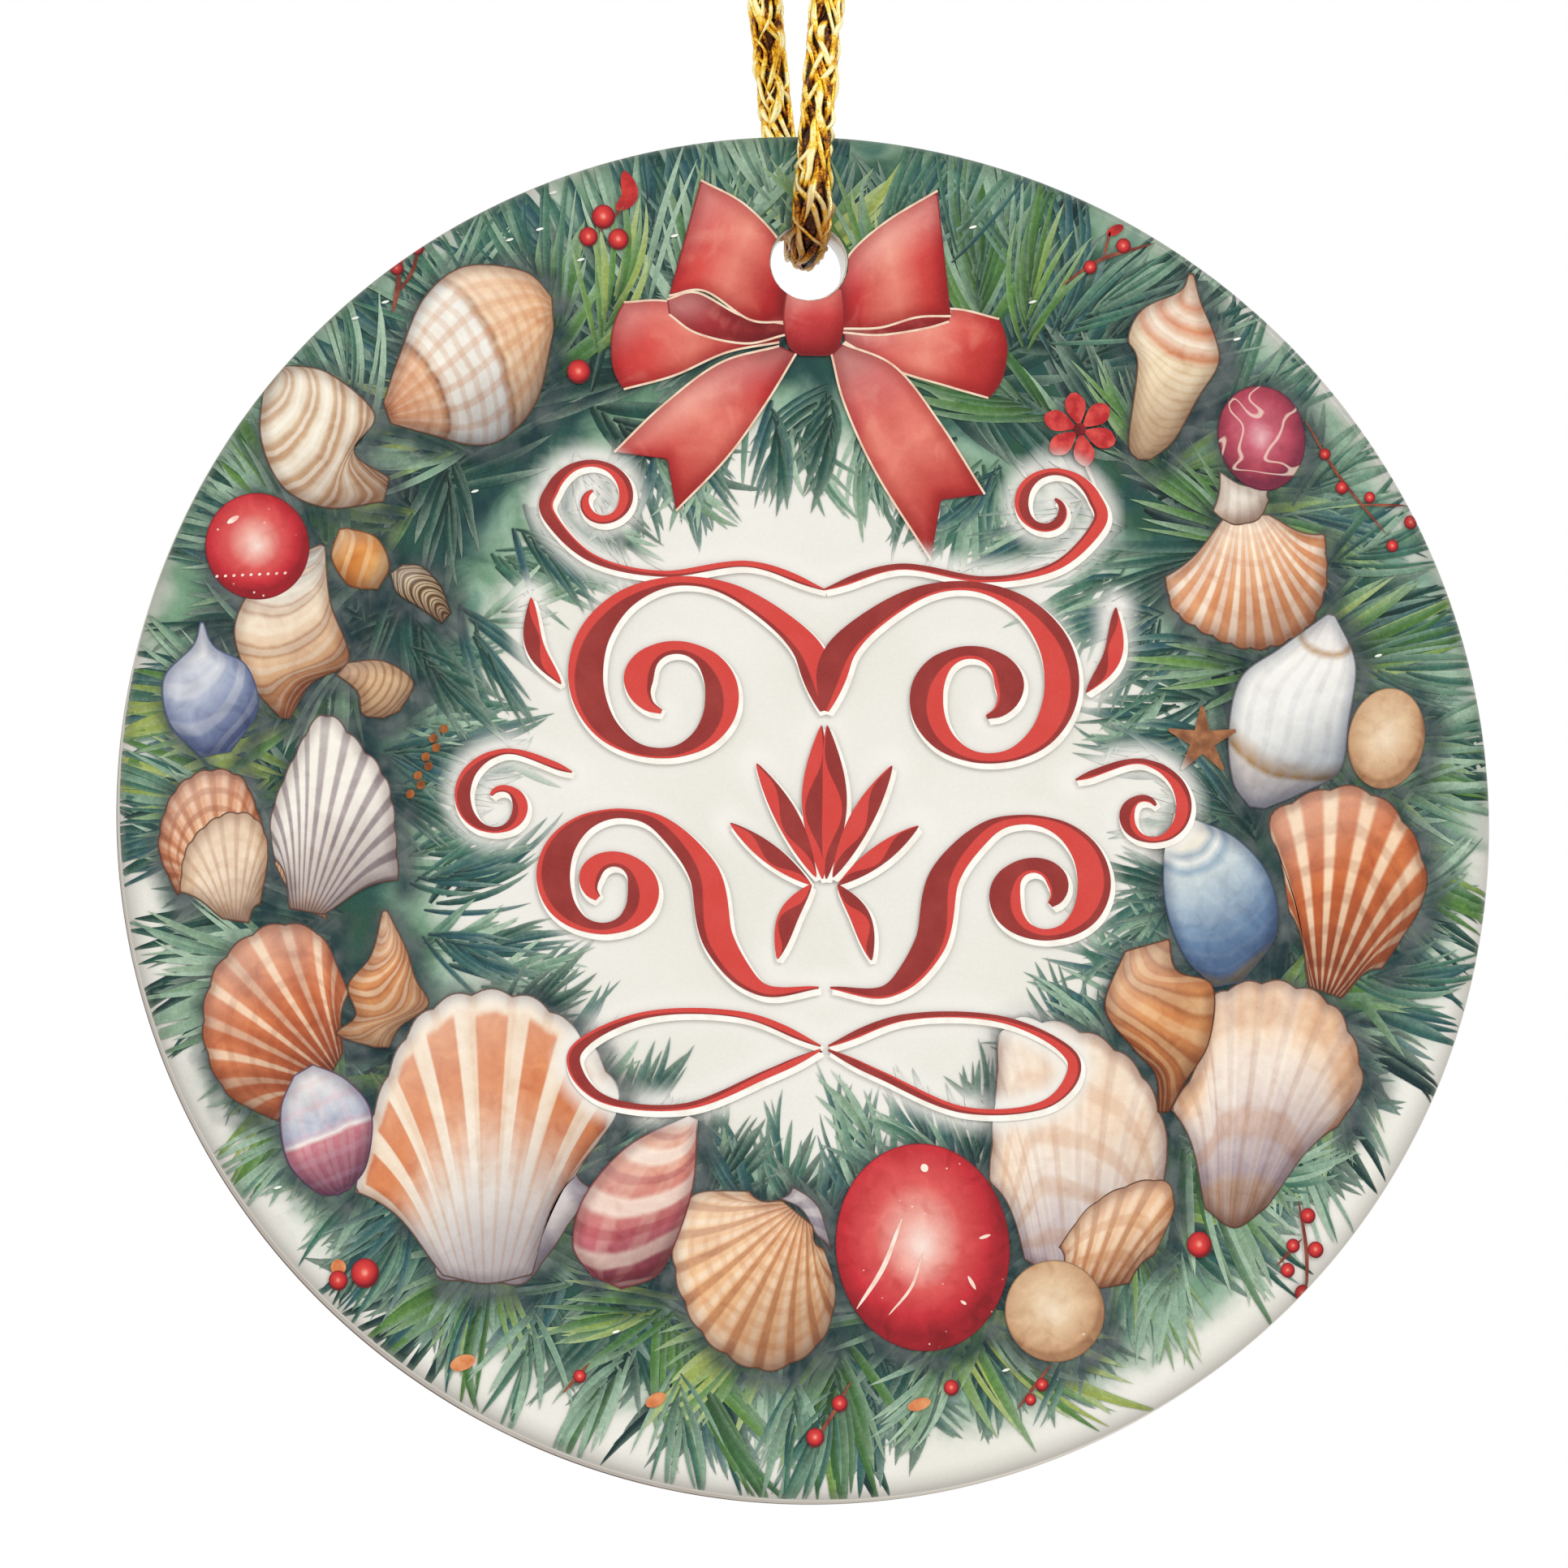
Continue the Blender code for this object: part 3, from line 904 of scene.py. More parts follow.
def add_needle(coat, foot, heading, length, width, bend, tint, lift):
    """Brush stroke that swells near its foot, curves by bend radians and ends in a point.

    It stops at the disc's edge, and has more points where it runs over the rounding there.
    """
    fine = 59
    direction = heading + bend * np.linspace(0, 1, fine + 1)
    step = length / fine
    x = foot[0] + np.cumsum(np.cos(direction)) * step
    z = foot[1] + np.cumsum(np.sin(direction)) * step
    radius = np.hypot(x, z)
    last = int(np.argmax(radius > PAINT_EDGE + 0.1)) or fine
    over = int(np.argmax(radius > DISC_RADIUS - EDGE_ROUNDING))
    if 0 < over < last:
        picks = np.concatenate([np.linspace(0, over, 7), np.linspace(over, last, 9)[1:]])
    else:
        picks = np.linspace(0, last, 9)
    line = np.stack([np.interp(picks, np.arange(fine + 1), column) for column in (x, z)], axis=1)
    share = picks / fine
    swell = 2.2 * (share + 0.03) ** 0.5 * (1.001 - share) ** 0.75
    coat.add(strip(line, width * swell), lift, tint=tint)


def add_spray(coat, foot, heading, reach, needles, spread, tints, lift, width):
    """Pine twig: needles leave it on alternating sides, ever more nearly along it towards its tip."""
    ahead = np.array([math.cos(heading), math.sin(heading)])
    curve = random.uniform(-0.45, 0.45)
    tone = random.uniform(*tints)
    for step in range(needles):
        share = step / (needles - 1)
        side = 1 if step % 2 else -1
        base = foot + ahead * reach * 0.40 * share + random.normal(0, 0.10, 2)
        angle = heading + side * spread / 2 * (1.05 - 0.9 * share) + random.normal(0, 0.06)
        length = reach * random.uniform(0.55, 0.75)
        bend = curve - side * random.uniform(0.05, 0.5)
        tint = np.clip(tone + random.uniform(-0.09, 0.09), 0, 1)
        size = width * random.uniform(0.5, 1.1)
        add_needle(coat, base, angle, length, size, bend, tint, lift + step * 0.4)


def outer_reach(turn):
    """How far out the needles run: past the edge at the top and left, short of it elsewhere."""
    return 36.6 + 2.1 * math.sin(turn) - 0.8 * math.cos(turn) + 0.5 * math.sin(3 * turn + 0.6)


def make_foliage():
    """Rings of pine sprays, each over the last, in as many pieces as the disc has sectors."""
    paint = needle_paint()
    coats = [Coat() for _ in range(SECTORS)]
    for index, row in enumerate(SPRAY_RINGS):
        count, base, way, scatter, reach, needles, spread, tints, layer, width = row
        for step in range(count):
            turn = 2 * math.pi * (step + random.uniform(-0.4, 0.4)) / count
            spill = random.uniform(*FIRST_RING_SPILL) if index == 0 else 0.0
            distance = base + spill + random.uniform(-1.3, 1.3)
            foot = (distance * math.cos(turn), distance * math.sin(turn))
            heading = turn + way + random.normal(0, scatter)
            length = (reach or outer_reach(turn) - OUTER_FEET) * random.uniform(0.8, 1.15)
            lift = FOLIAGE_LIFT + layer * LAYER_LIFT + random.uniform(0, 9)
            tint = NEEDLE_TINTS[tints]
            add_spray(coats[sector_of(foot)], foot, heading, length, needles, spread, tint, lift, width)
    for index, coat in enumerate(coats):
        coat.build(f"pine_sprays_{index + 1}", paint)


# ---------------------------------------------------------------- shells


FAN_SHELLS = {
    # name: (foot line, rim line, number of ribs, material key)
    "white_ear": (
        [(-28.4, -1.6), (-27.4, -3.2), (-25.9, -4.4)],
        [(-28.3, -3.2), (-27.1, -5.2), (-25.4, -6.2)],
        3, "peach_ribs",
    ),
    "great_ears": (
        [(-20.4, -19.6), (-17.0, -21.0), (-12.3, -18.0)],
        [(-21.4, -21.9), (-19.8, -23.4), (-19.5, -25.0), (-17.0, -25.2), (-15.0, -25.2), (-13.4, -23.2),
         (-11.4, -20.2)],
        6, "ear_white",
    ),
    "peach_ear": (
        [(-1.6, -20.6), (-0.4, -21.2), (0.4, -22.6)],
        [(-0.9, -19.9), (0.5, -21.0), (1.2, -23.4)],
        3, "ear_white",
    ),
    "white_scallop": (
        [(-27.5, -5.6), (-25.7, -5.9)],
        [(-28.3, -3.0), (-28.5, -0.7), (-27.4, 2.3), (-25.8, 4.8), (-23.8, 3.2), (-22.2, 0.8),
         (-21.7, -4.0)],
        13, "white_ribs",
    ),
    "coral_clam": (
        [(-31.8, -4.6), (-30.2, -4.6)],
        [(-33.4, -5.0), (-34.4, -2.4), (-33.7, 0.4), (-32.0, 1.7), (-30.0, 1.3), (-28.8, -1.4)],
        11, "coral_grid",
    ),
    "cream_clam": (
        [(-31.0, -6.2), (-29.6, -6.4)],
        [(-33.3, -4.8), (-32.9, -2.4), (-31.2, -0.7), (-29.4, -0.7), (-28.6, -2.4), (-29.0, -5.4)],
        12, "cream_ribs",
    ),
    "orange_scallop_left": (
        [(-25.8, -15.4), (-24.6, -13.2)],
        [(-28.0, -16.9), (-30.8, -15.3), (-32.0, -12.0), (-31.2, -8.6), (-28.6, -6.5), (-25.9, -6.9),
         (-24.3, -10.0)],
        11, "orange_ribs",
    ),
    "great_scallop": (
        [(-19.3, -24.9), (-17.0, -25.3), (-14.6, -24.8)],
        [(-24.0, -20.5), (-22.8, -15.6), (-20.6, -11.2), (-17.2, -9.8), (-13.4, -10.9), (-10.1, -15.3),
         (-12.4, -19.6)],
        13, "great_ribs",
    ),
    "peach_scallop": (
        [(-1.4, -20.7), (0.2, -22.0)],
        [(-3.2, -20.2), (-6.3, -20.6), (-7.2, -24.0), (-5.7, -27.8), (-2.5, -29.7), (0.4, -28.4),
         (1.4, -25.8),
         (0.8, -23.2)],
        13, "peach_ribs",
    ),
    "pearl_shell": (
        [(11.4, -23.7), (14.2, -25.2), (16.9, -24.8)],
        [(9.5, -19.6), (9.9, -15.0), (10.5, -11.2), (14.6, -11.5), (17.6, -13.6), (19.0, -17.0),
         (18.8, -19.8)],
        11, "pearl_ribs",
    ),
    "lip_shell": (
        [(13.2, -24.7), (15.0, -25.2), (17.0, -24.9)],
        [(13.2, -23.0), (14.8, -20.9), (16.8, -19.7), (18.8, -19.4), (19.4, -20.8), (18.3, -23.4)],
        7, "tan_ribs",
    ),
    "orchid_shell": (
        [(21.0, -20.9), (22.6, -21.9), (24.3, -20.8)],
        [(19.2, -15.6), (20.7, -13.0), (21.4, -9.7), (24.6, -8.7), (28.0, -10.0), (29.5, -13.8),
         (28.2, -16.4)],
        11, "orchid_ribs",
    ),
    "orange_scallop_right": (
        [(26.6, -9.0), (28.4, -9.6)],
        [(25.6, -5.0), (25.2, -2.4), (24.7, 0.2), (28.6, 1.8), (31.6, 0.3), (33.0, -3.6), (30.6, -8.0)],
        10, "orange_stripes",
    ),
    "peach_fan": (
        [(22.4, 16.4), (24.6, 16.4)],
        [(19.0, 12.9), (19.8, 10.8), (23.4, 9.1), (26.4, 10.0), (27.7, 12.4), (27.7, 15.4)],
        14, "fan_ribs",
    ),
    "fan_hinge": (
        [(22.0, 18.7), (23.2, 18.0), (24.8, 17.9)],
        [(21.6, 16.5), (22.7, 15.8), (24.1, 16.1), (24.7, 17.2)],
        4, "hinge_white",
    ),
}

SPIRE_SHELLS = {
    # name: (one side from end to end, the other side, material key)
    "spindle": (
        [(-22.7, 21.5), (-21.9, 24.0), (-20.6, 27.2), (-18.4, 29.0), (-15.2, 28.8), (-13.7, 27.4)],
        [(-22.3, 20.4), (-20.4, 19.9), (-17.8, 19.3), (-16.0, 19.9), (-14.4, 22.0), (-13.6, 25.8)],
        "spindle_bands",
    ),
    "whelk": (
        [(-29.0, 22.6), (-29.2, 19.6), (-28.0, 16.9), (-25.6, 15.8), (-22.6, 16.2)],
        [(-28.0, 23.5), (-25.6, 23.1), (-23.1, 20.9), (-24.2, 18.9), (-22.3, 17.5)],
        "whelk_bands",
    ),
    "turban": (
        [(-26.0, 13.9), (-28.9, 12.3), (-30.5, 9.4), (-29.6, 6.4), (-28.0, 4.5)],
        [(-25.7, 13.8), (-25.4, 10.8), (-24.4, 7.7), (-26.4, 6.4), (-27.5, 4.5)],
        "turban_bands",
    ),
    "pine_cone": (
        [(-22.3, 12.4), (-21.9, 11.3), (-20.8, 10.6), (-19.5, 9.7)],
        [(-21.6, 12.9), (-20.6, 12.8), (-19.6, 11.8), (-19.0, 10.3)],
        "cone_bands",
    ),
    "lavender_drop": (
        [(-32.3, 9.6), (-32.7, 8.3), (-34.2, 6.6), (-33.9, 4.2), (-32.2, 2.4)],
        [(-32.1, 9.6), (-31.5, 8.3), (-29.8, 7.3), (-29.2, 5.0), (-30.6, 2.7)],
        "lavender",
    ),
    "tan_heart": (
        [(-25.1, 6.9), (-24.0, 6.0), (-23.7, 4.8), (-22.6, 4.6)],
        [(-24.5, 7.6), (-22.6, 7.7), (-21.0, 6.6), (-21.7, 5.0)],
        "heart_bands",
    ),
    "ochre_shell": (
        [(-25.0, 14.7), (-25.4, 13.2), (-24.6, 11.8), (-23.8, 11.5)],
        [(-24.6, 14.8), (-23.0, 14.3), (-22.3, 12.8), (-22.9, 11.5)],
        "ochre",
    ),
    "left_conch": (
        [(-22.6, -5.6), (-23.2, -8.0), (-24.4, -9.6), (-24.0, -11.2), (-25.0, -12.2), (-23.0, -12.9)],
        [(-22.3, -5.6), (-21.3, -7.6), (-20.8, -9.2), (-20.1, -10.6), (-21.6, -11.8), (-22.2, -12.9)],
        "conch_bands",
    ),
    "two_tone_egg": (
        [(-27.2, -14.4), (-27.9, -16.3), (-27.5, -19.0), (-25.9, -20.6), (-24.8, -20.7)],
        [(-26.2, -13.8), (-24.4, -14.6), (-23.1, -16.3), (-23.3, -19.0), (-24.2, -20.4)],
        "egg_bands",
    ),
    "rose_cone": (
        [(-6.4, -16.3), (-9.6, -17.9), (-11.9, -20.6), (-12.5, -23.2), (-11.5, -24.8)],
        [(-5.9, -16.5), (-6.1, -19.8), (-6.9, -22.6), (-8.0, -24.7), (-9.9, -25.5)],
        "rose_bands",
    ),
    "swirl_cone": (
        [(20.4, 29.4), (19.9, 28.4), (17.9, 27.4), (17.1, 25.8), (17.6, 24.4), (17.1, 20.2),
         (17.6, 19.2)],
        [(20.7, 29.4), (21.1, 27.8), (21.9, 25.8), (22.0, 24.4), (20.9, 22.6), (19.6, 20.3),
         (18.3, 19.2)],
        "swirl_bands",
    ),
    "moon_shell": (
        [(27.8, 11.1), (25.2, 9.2), (23.1, 7.6), (22.4, 4.8), (22.6, 2.0), (23.5, 0.6)],
        [(28.2, 11.0), (29.3, 8.4), (28.9, 5.2), (28.4, 2.6), (26.4, 1.4), (24.3, 0.5)],
        "moon_bands",
    ),
    "blue_shell": (
        [(19.5, 0.2), (18.9, -2.2), (19.0, -4.9), (20.0, -7.5), (21.6, -9.1)],
        [(19.9, 0.1), (22.7, -1.0), (24.6, -3.2), (24.9, -6.2), (23.1, -8.8)],
        "blue_bands",
    ),
    "copper_conch": (
        [(16.8, -7.2), (15.7, -10.2), (17.2, -12.4), (18.4, -13.8), (18.5, -15.8)],
        [(19.2, -6.5), (19.6, -8.2), (21.5, -9.0), (21.3, -12.0), (20.0, -14.2), (19.1, -15.8)],
        "copper_bands",
    ),
}


SHELL_LOOKS = {
    # material key: what shell_paint takes. Tones run from a shell's foot or first end to its other end
    "white_ribs": dict(
        tones=[(0.0, "#E9C0A2"), (0.15, "#EDE4DF"), (0.7, "#F6F2EF"), (1.0, "#F8F4F0")],
        ribs=[(13, "#9F929A", 0.8, 4)], shade="#AFA5AF",
    ),
    "coral_grid": dict(
        tones=[(0.0, "#E8C2A4"), (0.6, "#E9B998"), (1.0, "#DC9A76")],
        ribs=[(11, "#A9623F", 0.55, 6)], bands=[(7, "#B06A48", 0.55, 5)],
    ),
    "cream_ribs": dict(
        tones=[(0.0, "#E9D3C0"), (0.6, "#F3E2D1"), (1.0, "#E6C6A8")],
        ribs=[(12, "#C49F80", 0.55, 5)], bands=[(5, "#D9BB9E", 0.25, 6)],
    ),
    "orange_ribs": dict(
        tones=[(0.0, "#B76847"), (0.4, "#CF774E"), (0.8, "#DD8E66"), (1.0, "#D98A62")],
        ribs=[(11, "#F7DCC4", 0.9, 5.5), (5.5, "#A9532F", 0.4, 2)],
        bands=[(6, "#B35F38", 0.25, 7)],
    ),
    "great_ribs": dict(
        tones=[(0.0, "#F2F0F3"), (0.35, "#F9F5F2"), (0.7, "#F4E2D2"), (0.96, "#F3E0CF"), (1.0, "#FBF7F2")],
        ribs=[(13, "#E9C7AC", 0.45, 9)], rays=[(9, "#DD8E62", 0.30)], shade="#ABA4B4",
    ),
    "ear_white": dict(
        tones=[(0.0, "#F3EFEE"), (0.6, "#E4DEE4"), (1.0, "#F4EEEA")],
        ribs=[(3, "#A79FB2", 0.6, 2)], shade="#9B94A8",
    ),
    "peach_ribs": dict(
        tones=[(0.0, "#E3AD84"), (0.5, "#F0C8A2"), (0.9, "#F0C59C"), (1.0, "#F7E2CB")],
        ribs=[(13, "#BC7C52", 0.7, 6)], bands=[(9, "#D79C70", 0.3, 4)],
    ),
    "fan_ribs": dict(
        tones=[(0.0, "#F4DCC8"), (0.3, "#EFC3A0"), (0.75, "#DE9C70"), (0.97, "#E6AF88")],
        ribs=[(14, "#FCF0E4", 0.85, 3), (7, "#C97F54", 0.25, 4)], bands=[(5, "#D08A60", 0.2, 9)],
    ),
    "hinge_white": dict(
        tones=[(0.0, "#F4F0EC"), (0.7, "#EFE7E1"), (1.0, "#F7E9DC")], ribs=[(5, "#CBB9B0", 0.3, 4)],
    ),
    "pearl_ribs": dict(
        tones=[(0.0, "#D2C4D2"), (0.4, "#F2E8E4"), (0.75, "#F3D9C4"), (1.0, "#F0DCCB")],
        ribs=[(11, "#C2947A", 0.38, 8), (5.5, "#FFFAF4", 0.40, 6)], bands=[(5, "#DDB395", 0.4, 5)],
        shade="#A396AA",
    ),
    "tan_ribs": dict(
        tones=[(0.0, "#D39A70"), (0.6, "#F1CFB0"), (1.0, "#E8B48C")],
        ribs=[(7, "#AD6E46", 0.6, 6)], bands=[(3, "#CB9268", 0.45, 5)],
    ),
    "orchid_ribs": dict(
        tones=[(0.0, "#CB9A74"), (0.2, "#D8B498"), (0.26, "#CFC0CC"), (0.72, "#F1E3DC"), (0.84, "#F3D3B8"),
               (1.0, "#E9B88F")],
        ribs=[(11, "#B58A74", 0.38, 8), (5.5, "#FFF8F2", 0.40, 6)], bands=[(2.2, "#CE9870", 0.35, 9)],
        shade="#A093A4",
    ),
    "orange_stripes": dict(
        tones=[(0.0, "#AE5A32"), (0.5, "#C86E40"), (1.0, "#D98455")],
        ribs=[(10, "#F8DEC4", 0.92, 4)], bands=[(6, "#A9562E", 0.3, 6)],
    ),
    "spindle_bands": dict(
        tones=[(0.0, "#C97F58"), (0.30, "#EFC8AB"), (0.34, "#A9785A"), (0.37, "#F6F2EC"), (0.60, "#F1F0EE"),
               (0.64, "#B98F70"), (0.66, "#F4D5B8"), (1.0, "#E4B086")],
        ribs=[(7, "#D99C74", 0.35, 6)], bands=[(16, "#CE946C", 0.30, 4)], bend=0.35, shade="#9C9FAE",
    ),
    "whelk_bands": dict(
        tones=[(0.0, "#E8DCCB"), (0.5, "#F3EADD"), (1.0, "#DFC6AF")],
        bands=[(5.5, "#C49A72", 0.8, 2.2), (11, "#FDFAF4", 0.55, 8)], bend=0.5, slant=0.25,
    ),
    "turban_bands": dict(
        tones=[(0.0, "#A9AFB2"), (0.28, "#D6D1CB"), (0.42, "#EFE0CF"), (0.75, "#E6BD98"), (1.0, "#BE7A4E")],
        bands=[(5, "#A56C46", 0.6, 6), (10, "#F8EEE0", 0.4, 5)], bend=0.5, slant=0.35,
    ),
    "cone_bands": dict(
        tones=[(0.0, "#7E634A"), (1.0, "#A08262")],
        bands=[(7, "#E9D8BC", 0.8, 2), (14, "#3E2A1C", 0.7, 7)], bend=-1.2, outline="#3B2A1E",
    ),
    "lavender": dict(
        tones=[(0.0, "#ECECF1"), (0.35, "#CDD2E2"), (0.7, "#A6B2D0"), (1.0, "#8694BB")],
        bands=[(4, "#F1F1F6", 0.35, 4)], bend=0.8, slant=0.4, shade="#8794B6", outline="#4C5A80",
    ),
    "heart_bands": dict(
        tones=[(0.0, "#C59A74"), (1.0, "#E8CFB0")],
        bands=[(9, "#9C6E48", 0.55, 5)], bend=0.4, slant=0.3,
    ),
    "ochre": dict(
        tones=[(0.0, "#EBB87C"), (0.35, "#CB8038"), (0.7, "#EBA75F"), (1.0, "#ECC797")],
        bands=[(3, "#F6DCB4", 0.5, 8)], slant=0.8, outline="#7A4519",
    ),
    "conch_bands": dict(
        tones=[(0.0, "#EBBF98"), (0.5, "#D6935F"), (1.0, "#EECBA6")],
        bands=[(6, "#A9623A", 0.55, 4), (12, "#F9E4CC", 0.5, 4)], bend=0.6, slant=0.3,
    ),
    "rose_bands": dict(
        tones=[(0.0, "#EBB79C"), (0.4, "#E09C8C"), (0.75, "#C77480"), (1.0, "#AE5A70")],
        ribs=[(3, "#F6D8CA", 0.25, 4)], bands=[(7, "#B04A58", 0.5, 5), (3.5, "#FBEDE4", 0.75, 5)],
        bend=0.45, slant=0.3, shade="#A07884", outline="#7E343E",
    ),
    "egg_bands": dict(
        tones=[(0.0, "#EDECF0"), (0.25, "#D9DBE6"), (0.50, "#B9C1D8"), (0.53, "#FBF7F7"), (0.56, "#D98E9C"),
               (1.0, "#B4607A")],
        ribs=[(4, "#F3D3DA", 0.22, 8)], bands=[(6, "#E3B9C6", 0.3, 9)], shade="#8E8FB0",
        outline="#5A3A5C",
    ),
    "swirl_bands": dict(
        tones=[(0.0, "#DE9A72"), (0.14, "#F4E6D8"), (0.20, "#DD9570"), (0.27, "#F6EADD"), (0.33, "#DB8D66"),
               (0.40, "#F8EEE2"), (0.46, "#D98E68"), (0.50, "#F3E4CC"), (1.0, "#EFDABB")],
        bands=[(22, "#D9B68E", 0.35, 5)], bend=0.35, slant=-0.12,
    ),
    "moon_bands": dict(
        tones=[(0.0, "#D9DAE2"), (0.20, "#E9E6E8"), (0.23, "#B9946A"), (0.26, "#F4F5F6"), (0.70, "#EDEFF1"),
               (0.80, "#B9946A"), (0.83, "#E3DBD8"), (1.0, "#D3CBD0")],
        ribs=[(6, "#C2BFCD", 0.22, 5)], bend=0.3, shade="#9DA7BC", outline="#5E5A64",
    ),
    "blue_bands": dict(
        tones=[(0.0, "#F3EBDC"), (0.25, "#EFEAE2"), (0.29, "#9FB3C6"), (0.33, "#E9EDEF"), (0.37, "#93AFC9"),
               (0.41, "#C9D6DF"), (0.75, "#86A5CA"), (0.93, "#7E9BC4"), (1.0, "#C6AE92")],
        bands=[(11, "#D6DEE4", 0.10, 6)], bend=0.5, slant=0.1, shade="#6C82A2", outline="#435470",
    ),
    "copper_bands": dict(
        tones=[(0.0, "#C8844F"), (0.5, "#DFA06C"), (1.0, "#B2642F")],
        bands=[(3, "#8E4C24", 0.5, 4), (6, "#F6D4AC", 0.45, 3)], bend=0.5, slant=-0.5,
        outline="#5E2E14",
    ),
}


def waisted(grid, amount=0.10):
    """A fan with hollow flanks: drawn in halfway between its foot and its rim."""
    drawn = amount * np.sin(math.pi * np.linspace(0, 1, grid.shape[0]))[:, None, None]
    return grid + (grid.mean(axis=1)[:, None] - grid) * drawn


def scalloped(grid, ribs):
    """A fan's rim with one small bulge for each rib."""
    share = np.linspace(0, 1, grid.shape[1])
    bulge = 0.02 * np.abs(np.sin(share * ribs * math.pi)) - 0.01
    rows = np.linspace(0, 1, grid.shape[0])[:, None] ** 6
    from_foot = grid - grid[:1]
    return grid + from_foot * (rows * bulge)[:, :, None]


def make_shells():
    """Scallops, cones and conches. Gives their outlines, which cast the painted shade."""
    paints = {name: shell_paint(name, **look) for name, look in SHELL_LOOKS.items()}
    outlines = []
    lift = SHELL_LIFT
    for name, (foot, rim, ribs, key) in FAN_SHELLS.items():
        grid = waisted(scalloped(loft(foot, rim, 30, ribs * 8 + 1), ribs))
        paint_shape(name, grid, paints[key], lift)
        outlines.append(grid[-1])
        lift += SHAPE_STEP
    for name, (first, second, key) in SPIRE_SHELLS.items():
        grid = loft(first, second, 24, 64).transpose(1, 0, 2)
        paint_shape(name, grid, paints[key], lift)
        outlines.append(np.concatenate([grid[:, 0], grid[:, -1]]))
        lift += SHAPE_STEP
    return outlines


BAUBLES = {
    # name: (centre, half width and height, tilt in degrees, egg shape)
    "red_bauble_left": ((-29.3, 13.7), (2.75, 2.85), 0, 0.0),
    "red_bauble_great": ((6.0, -23.1), (4.62, 5.5), 4, 0.0),
    "rose_pebble": ((24.3, 20.5), (2.35, 2.85), 8, 0.04),
    "stippled_pebble": ((13.0, -26.4), (2.65, 2.7), 0, 0.0),
    "folded_shell": ((30.9, 4.4), (2.05, 2.75), -12, 0.0),
}


def make_baubles():
    """Glass baubles and pebbles. Gives their outlines, which cast the painted shade."""
    red = [(0.0, "#F9E6E2"), (0.22, "#F1B5AE"), (0.5, "#DC6162"), (0.8, "#C8323F"), (1.0, "#9C1B2A")]
    rose = [(0.0, "#EBB9C2"), (0.3, "#CC6E84"), (0.7, "#B04A60"), (1.0, "#80304A")]
    tan = [(0.0, "#F0DEC9"), (0.5, "#E0C3A4"), (0.9, "#C9A382"), (1.0, "#A98264")]
    paints = {
        "red_bauble_left": bauble_paint("bauble_red", red, speckles=0.16),
        "red_bauble_great": bauble_paint("bauble_scarlet", red, speckles=0.12),
        "rose_pebble": bauble_paint("pebble_rose", rose, speckles=0.05, outline="#4E1C30", veins=0.55),
        "stippled_pebble": bauble_paint("pebble_tan", tan, "#FFFFFF", 0.14, "#7A5C46"),
        "folded_shell": bauble_paint("shell_fold", tan, "#C98A5A", 0.2, "#7A5C46"),
    }
    outlines = []
    for index, (name, (centre, radii, tilt, egg_shape)) in enumerate(BAUBLES.items()):
        grid = round_grid(centre, radii, tilt, egg_shape)
        paint_shape(name, grid, paints[name], BAUBLE_LIFT - index, closed=True)
        outlines.append(grid[-1])
    return outlines


def make_shade(outlines):
    """Dark wash that gathers under and round the shells, deeper below and to the right."""
    tree = tree_of(outlines)
    shift_x, shift_z = 0.35, -0.45
    reach, density, spacing = 1.9, 0.88, 0.28
    steps = np.arange(-DISC_RADIUS, DISC_RADIUS + spacing, spacing)
    flat = np.stack(np.meshgrid(steps, steps), axis=2).reshape(-1, 2)
    gaps = [tree.find((x - shift_x, z - shift_z, 0))[2] for x, z in flat]
    veil = density * np.clip(1 - np.array(gaps) / reach, 0, 1) ** 1.4
    radius = np.hypot(flat[:, 0], flat[:, 1])
    from_hole = np.hypot(flat[:, 0], flat[:, 1] - HOLE_Z)
    shown = (radius < PAINT_EDGE - spacing) & (from_hole > PRINT_HOLE_RADIUS + spacing)
    faces = grid_faces(len(steps), len(steps))
    faces = faces[(veil[faces].max(axis=1) > 0) & shown[faces].all(axis=1)]
    used, inverse = np.unique(faces, return_inverse=True)
    vertices = on_disc(flat[used], SHADE_LIFT)
    faces = inverse.reshape(faces.shape)
    make_piece("shell_shade", vertices, faces, shade_paint(), "disc", "print", False, veil=veil[used])


# ---------------------------------------------------------------- bow, berries and twigs


